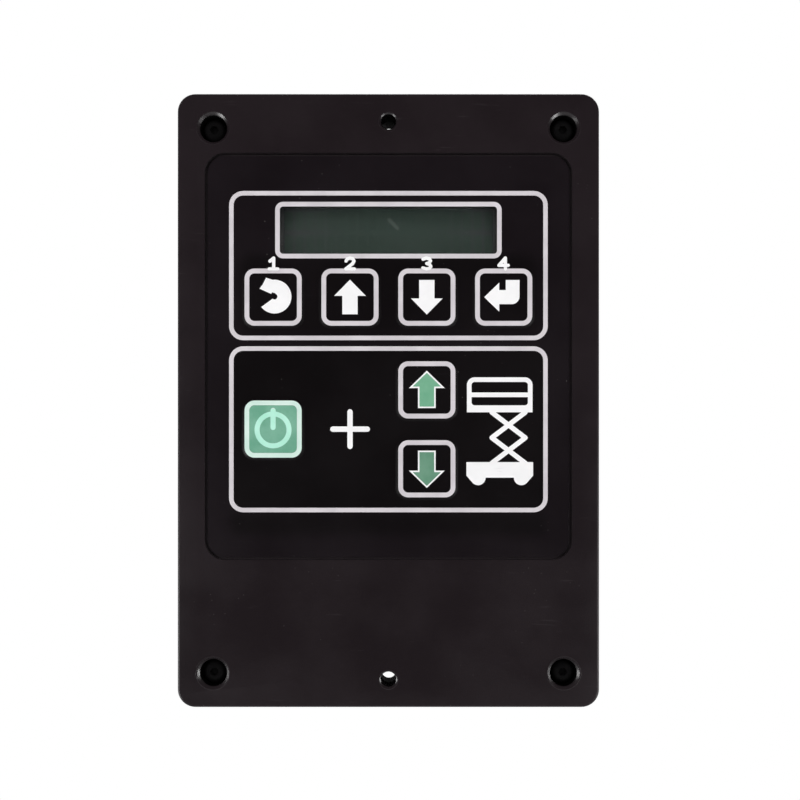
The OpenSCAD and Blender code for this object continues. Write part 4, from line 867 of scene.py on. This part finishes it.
# A rounded square carried inwards along the band's level, and back out behind it: the wall is a lip
# thick at both edges, and thickness * sin(pi t) more between them
def makeSkirt(name, values):
    middleX, middleZ, tile = tileOf(name)
    inner = tile - values["within"]
    t = np.linspace(0, 1, values["across"])
    front = skirtLevel(t)
    back = front + values["lip"] + values["thickness"] * np.sin(np.pi * t)
    along = np.concatenate([t, t[::-1]])
    level = np.concatenate([front, back[::-1]])
    half = tile + values["beyond"] - (values["beyond"] + values["within"]) * along
    rings = [roundedSquare(h, h - inner + values["innerRadius"], values["perCorner"]) for h in half]
    x, z = (np.array(side) for side in zip(*rings))
    y = np.repeat(level[:, None], x.shape[1], axis=1)
    points = np.stack([x + middleX, y, z + middleZ], axis=-1).reshape(-1, 3) * mm
    piece = meshPiece(name + "KeySkirt", points, gridFaces(*x.shape, True), film)
    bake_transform(piece, "root", name + "_button", (0, values["low"] * mm, 0), (0, values["high"] * mm, 0))


for name in keyNames:
    makeSkirt(name, keySkirt)
print("key skirts made")


# Digits over the menu keys, drawn as strokes that lie on the overlay and its skirts

digitStrokes = {
    "height": 5.6, "line": 1.3, "rise": 0.125, "root": 0.02, "step": 0.003, "up": 53.47,
    "shares": {
        "escape": [[[-0.3, 0.22], [0.04, 0.5], [0.04, -0.5]], [[-0.36, -0.5], [0.42, -0.5]]],
        "up": [[[-0.36, 0.24], [-0.24, 0.43], [0, 0.5], [0.26, 0.43], [0.36, 0.22], [0.22, -0.02],
                [-0.38, -0.5]], [[-0.38, -0.5], [0.4, -0.5]]],
        "down": [[[-0.34, 0.4], [-0.05, 0.5], [0.26, 0.42], [0.34, 0.24], [0.2, 0.06], [0, 0.01]],
                 [[0, 0.01], [0.25, -0.08], [0.37, -0.27], [0.25, -0.44], [-0.04, -0.5],
                  [-0.36, -0.4]]],
        "enter": [[[0.16, -0.5], [0.16, 0.5], [-0.42, -0.16], [0.42, -0.16]]],
    },
    "along": 22, "across": 7, "roundSteps": 6,
}


# A stroke from a to b with round ends. Its half width is half the line, and past an end of the
# centre line it is sqrt(line^2 / 4 - over^2), with over the distance past that end
def strokeOutline(a, b, values):
    run, line = b - a, values["line"]
    length = np.hypot(*run)
    ends = line / 2 * np.sin(np.linspace(0, np.pi / 2, values["roundSteps"]))
    s = np.concatenate([-ends[::-1], np.linspace(0, length, values["along"])[1:-1], length + ends])
    over = np.maximum(0, np.maximum(-s, s - length))
    half = np.sqrt(np.maximum(0, line**2 / 4 - over**2))
    v = np.linspace(-1, 1, values["across"])
    along, side = run / length, np.array([-run[1], run[0]]) / length
    return a + s[:, None, None] * along + (half[:, None] * v)[:, :, None] * side


# The ink follows the film: its level is that of the overlay or the skirt under it, less its rise.
# Each stroke rises a step more than the last
def makeDigit(name, values):
    middleX, middleZ, tile = tileOf(name)
    outer = tile + keySkirt["beyond"]
    reach = values["height"] - values["line"]
    parts, rise = [], values["rise"]
    for path in values["shares"][name]:
        path = np.array(path) * reach + [middleX, values["up"]]
        for a, b in zip(path[:-1], path[1:]):
            face = strokeOutline(a, b, values)
            x, z = face[..., 0], face[..., 1]
            t = np.clip((outer - (z - middleZ)) / (keySkirt["beyond"] + keySkirt["within"]), 0, 1)
            front = np.stack([x, skirtLevel(t) - rise, z], axis=-1)
            back = np.stack([x, skirtLevel(t) + values["root"], z], axis=-1)
            loop = np.concatenate([front, back[:, ::-1]], axis=1)
            parts.append((loop.reshape(-1, 3) * mm, gridFaces(*loop.shape[:2], False)[:, ::-1]))
            rise += values["step"]
    piece = meshPiece(name + "KeyDigit", *joinParts(parts), digitInk)
    closeSeams(piece)
    start, end = ((0, (keySkirt[level] - values["rise"]) * mm, 0) for level in ("low", "high"))
    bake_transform(piece, "root", name + "_button", start, end)


for name in digitStrokes["shares"]:
    makeDigit(name, digitStrokes)
print("digits printed over the menu keys")


# Hole mouths: a worn lining over the chamfer of each screw hole and mounting hole

holeMouths = {
    "screws": {"bore": 5.3, "chamfer": 1.0, "from": "corner_screws", "headRadius": 4.75},
    "mounts": {"bore": 3.0, "chamfer": 0.5},
    "slope": 0.97, "lip": 0.45, "proud": 0.004, "below": 0.35, "wall": 0.06, "around": 64,
    # hole: depth range of the painted shade inside the mouths
    "steps": 12, "finish": {"roughness": (0.3, 0.36), "specular": 0.5, "hole": (0.6, 1.3)},
}


# A profile of radius and depth turned round a hole's axis, with a from 0 to 2 pi:
# (x + radius * cos(a), the face's level + depth, z + radius * sin(a))
def turnProfile(x, z, profile, around):
    angle = np.linspace(0, 2 * np.pi, around, endpoint=False)
    radius, depth = profile[:, :1], profile[:, 1:]
    ring = np.stack([x + radius * np.cos(angle), coverFace / mm + depth + 0 * angle,
                     z + radius * np.sin(angle)], axis=-1)
    return ring.reshape(-1, 3) * mm, gridFaces(len(profile), around, True)[:, [0, 3, 2, 1]]


# A mouth's profile runs along the face, down the chamfer as a cone and down the bore, then back a
# wall's thickness deeper
def mouthRing(x, z, bore, chamfer, values):
    down = chamfer * np.linspace(0, 1, values["steps"])
    radius = np.concatenate([[bore + chamfer + values["lip"]], bore + chamfer - down, [bore]])
    depth = np.concatenate([[0], values["slope"] * down, [chamfer + values["below"]]])
    front = np.stack([radius, depth - values["proud"]], axis=-1)
    back = np.stack([radius + values["wall"], depth + values["wall"]], axis=-1)[::-1]
    return turnProfile(x, z, np.concatenate([front, back]), values["around"])


def coverPiece(name, parts, material):
    piece = meshPiece(name, *joinParts(parts), material)
    closeSeams(piece)
    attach(piece, "root")


def makeMouths(values):
    screws = values["screws"]
    low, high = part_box(screws["from"])
    right, top = high.x / mm - screws["headRadius"], high.z / mm - screws["headRadius"]
    foot = low.z / mm + screws["headRadius"]
    holes = [(side * right, up, screws) for side in (-1, 1) for up in (foot, top)]
    holes += [(0.0, side * boltSpacing / 2, values["mounts"]) for side in (-1, 1)]
    parts = [mouthRing(x, z, hole["bore"], hole["chamfer"], values) for x, z, hole in holes]
    coverPiece("holeMouths", parts, coverMaterial("wornMouth", {**coverFinish, **values["finish"]}))


# Painted shade in the mounting holes' bores: a thin near-black tube down each

boreShadeLining = {"radius": 2.99, "wall": 0.04, "from": 0.7, "to": 15.9, "around": 64}


def makeBoreShadeLinings(values):
    outer = values["radius"] + values["wall"]
    profile = np.array([[values["radius"], values["from"]], [values["radius"], values["to"]],
                        [outer, values["to"]], [outer, values["from"]]])
    parts = [turnProfile(0.0, side * boltSpacing / 2, profile, values["around"])
             for side in (-1, 1)]
    coverPiece("mountingHoleShadeTubes", parts, plainMaterial("paintedBoreShade"))


makeMouths(holeMouths)
makeBoreShadeLinings(boreShadeLining)
print("hole mouths and bores lined")


# Room, lights and camera

studio = {
    "floor": {"drop": 0.25, "size": 2.2, "tones": [(0.82, 0.82, 0.82), (0.7872, 0.7872, 0.7872)],
              "grain": 3.0, "cloudSize": 300.0, "roughness": 0.8, "fade": (0.55, 0.25)},
    "world": {"ambient": 0.3, "frontDim": 0.06, "behind": (-0.2, 0.5)},
    "lights": {
        "leftBox": {"place": (-0.42, -0.5, 0.03), "size": (0.22, 0.36), "power": 1.35,
                    "mirrored": False},
        "rightBox": {"place": (0.46, -0.5, 0.03), "size": (0.22, 0.36), "power": 1.35,
                     "mirrored": False},
        "leftGlint": {"place": (-0.45, -0.1, -0.19), "size": (0.1, 0.28), "power": 1.9,
                      "lights": False},
        "rightGlint": {"place": (0.45, -0.1, -0.19), "size": (0.1, 0.28), "power": 1.9,
                       "lights": False},
        "topBox": {"place": (0.0, -0.7, 0.8), "size": (0.9, 0.5), "power": 3.4, "mirrored": False},
        "backBox": {"place": (0.3, 0.9, 0.6), "size": (0.8, 0.6), "power": 8.0},
    },
}


# A pale square that fades out with the distance from its middle
def makeFloor(values):
    half = values["size"] / 2
    level = cadBox[0].z - values["drop"]
    corners = [(-half, -half), (half, -half), (half, half), (-half, half)]
    points = np.array([[*corner, level] for corner in corners])
    material, tree, sockets, place = newMaterial("floorPaint")
    grain = grainAt(tree, place, values)
    feed(tree, sockets["Base Color"], clouded(tree, grain, values["tones"]))
    sockets["Roughness"].default_value = values["roughness"]
    flat = vectorCalc(tree, "MULTIPLY", place, (1.0, 1.0, 0.0)).outputs[0]
    away = vectorCalc(tree, "LENGTH", flat).outputs["Value"]
    feed(tree, sockets["Alpha"], easeBetween(tree, away, *values["fade"]))
    floor = meshPiece("studioFloor", points, np.array([[0, 1, 2, 3]]), material)


# White to the camera and through the window, dimmer in reflections of what is in front, and an even
# ambient light otherwise. A ray through the window counts only before its first bounce
def makeWorld(values):
    world = bpy.data.worlds.new("studioRoom")
    world.use_nodes = True
    tree = world.node_tree
    tree.nodes.clear()
    path = tree.nodes.new("ShaderNodeLightPath").outputs
    direction = tree.nodes.new("ShaderNodeTexCoord").outputs["Generated"]
    way = addNode(tree, "ShaderNodeSeparateXYZ", {"Vector": direction}).outputs["Y"]
    reflected = spread(tree, easeBetween(tree, way, *values["behind"]), values["frontDim"], 1.0)
    bounced = calc(tree, "ADD", path["Diffuse Depth"], path["Glossy Depth"])
    direct = calc(tree, "LESS_THAN", bounced, 0.5)
    seenThrough = calc(tree, "MULTIPLY", path["Is Transmission Ray"], direct)
    clear = calc(tree, "MAXIMUM", path["Is Camera Ray"], seenThrough)
    dull = calc(tree, "SUBTRACT", 1.0, path["Is Glossy Ray"])
    strength = calc(tree, "ADD", calc(tree, "MULTIPLY", path["Is Glossy Ray"], reflected),
                    calc(tree, "MULTIPLY", dull, values["ambient"]))
    strength = calc(tree, "MAXIMUM", strength, clear)
    background = addNode(tree, "ShaderNodeBackground", {"Strength": strength})
    background.inputs["Color"].default_value = colour((1.0, 1.0, 1.0))
    output = tree.nodes.new("ShaderNodeOutputWorld")
    tree.links.new(background.outputs[0], output.inputs["Surface"])
    bpy.context.scene.world = world


# Area lamps that face the middle of the object
def makeLights(lights):
    for name, light in lights.items():
        lamp = bpy.data.lights.new(name, "AREA")
        lamp.shape = "RECTANGLE"
        lamp.size, lamp.size_y = light["size"]
        lamp.energy = light["power"]
        item = bpy.data.objects.new(name, lamp)
        bpy.context.scene.collection.objects.link(item)
        item.visible_camera = False
        item.visible_glossy = light.get("mirrored", True)
        item.visible_diffuse = light.get("lights", True)
        item.location = light["place"]
        item.rotation_mode = "QUATERNION"
        item.rotation_quaternion = (-Vector(light["place"])).to_track_quat("-Z", "Y")


photographersCamera = {"distance": 0.35, "place": (4.53, -25.0), "aimedUp": 0.16, "pixel": 0.3905,
                       "picture": 800, "sensor": 36.0, "clipStart": 0.01}


# The picture's width at the face is its pixels times their size there, which gives the lens
def makeCamera(values):
    width = values["pixel"] * values["picture"]
    camera = bpy.data.cameras.new("photographersCamera")
    camera.sensor_width = values["sensor"]
    camera.lens = values["sensor"] * values["distance"] / (width * mm)
    camera.shift_y = (values["aimedUp"] - values["place"][1]) / width
    camera.clip_start = values["clipStart"]
    item = bpy.data.objects.new("photographersCamera", camera)
    bpy.context.scene.collection.objects.link(item)
    x, z = values["place"]
    item.location = (x * mm, coverFace - values["distance"], z * mm)
    item.rotation_euler = (math.pi / 2, 0, 0)
    bpy.context.scene.camera = item


makeFloor(studio["floor"])
makeWorld(studio["world"])
makeLights(studio["lights"])
makeCamera(photographersCamera)
bpy.context.scene.view_settings.view_transform = "Standard"
print("room, lights and camera set")

print("pieces finished")
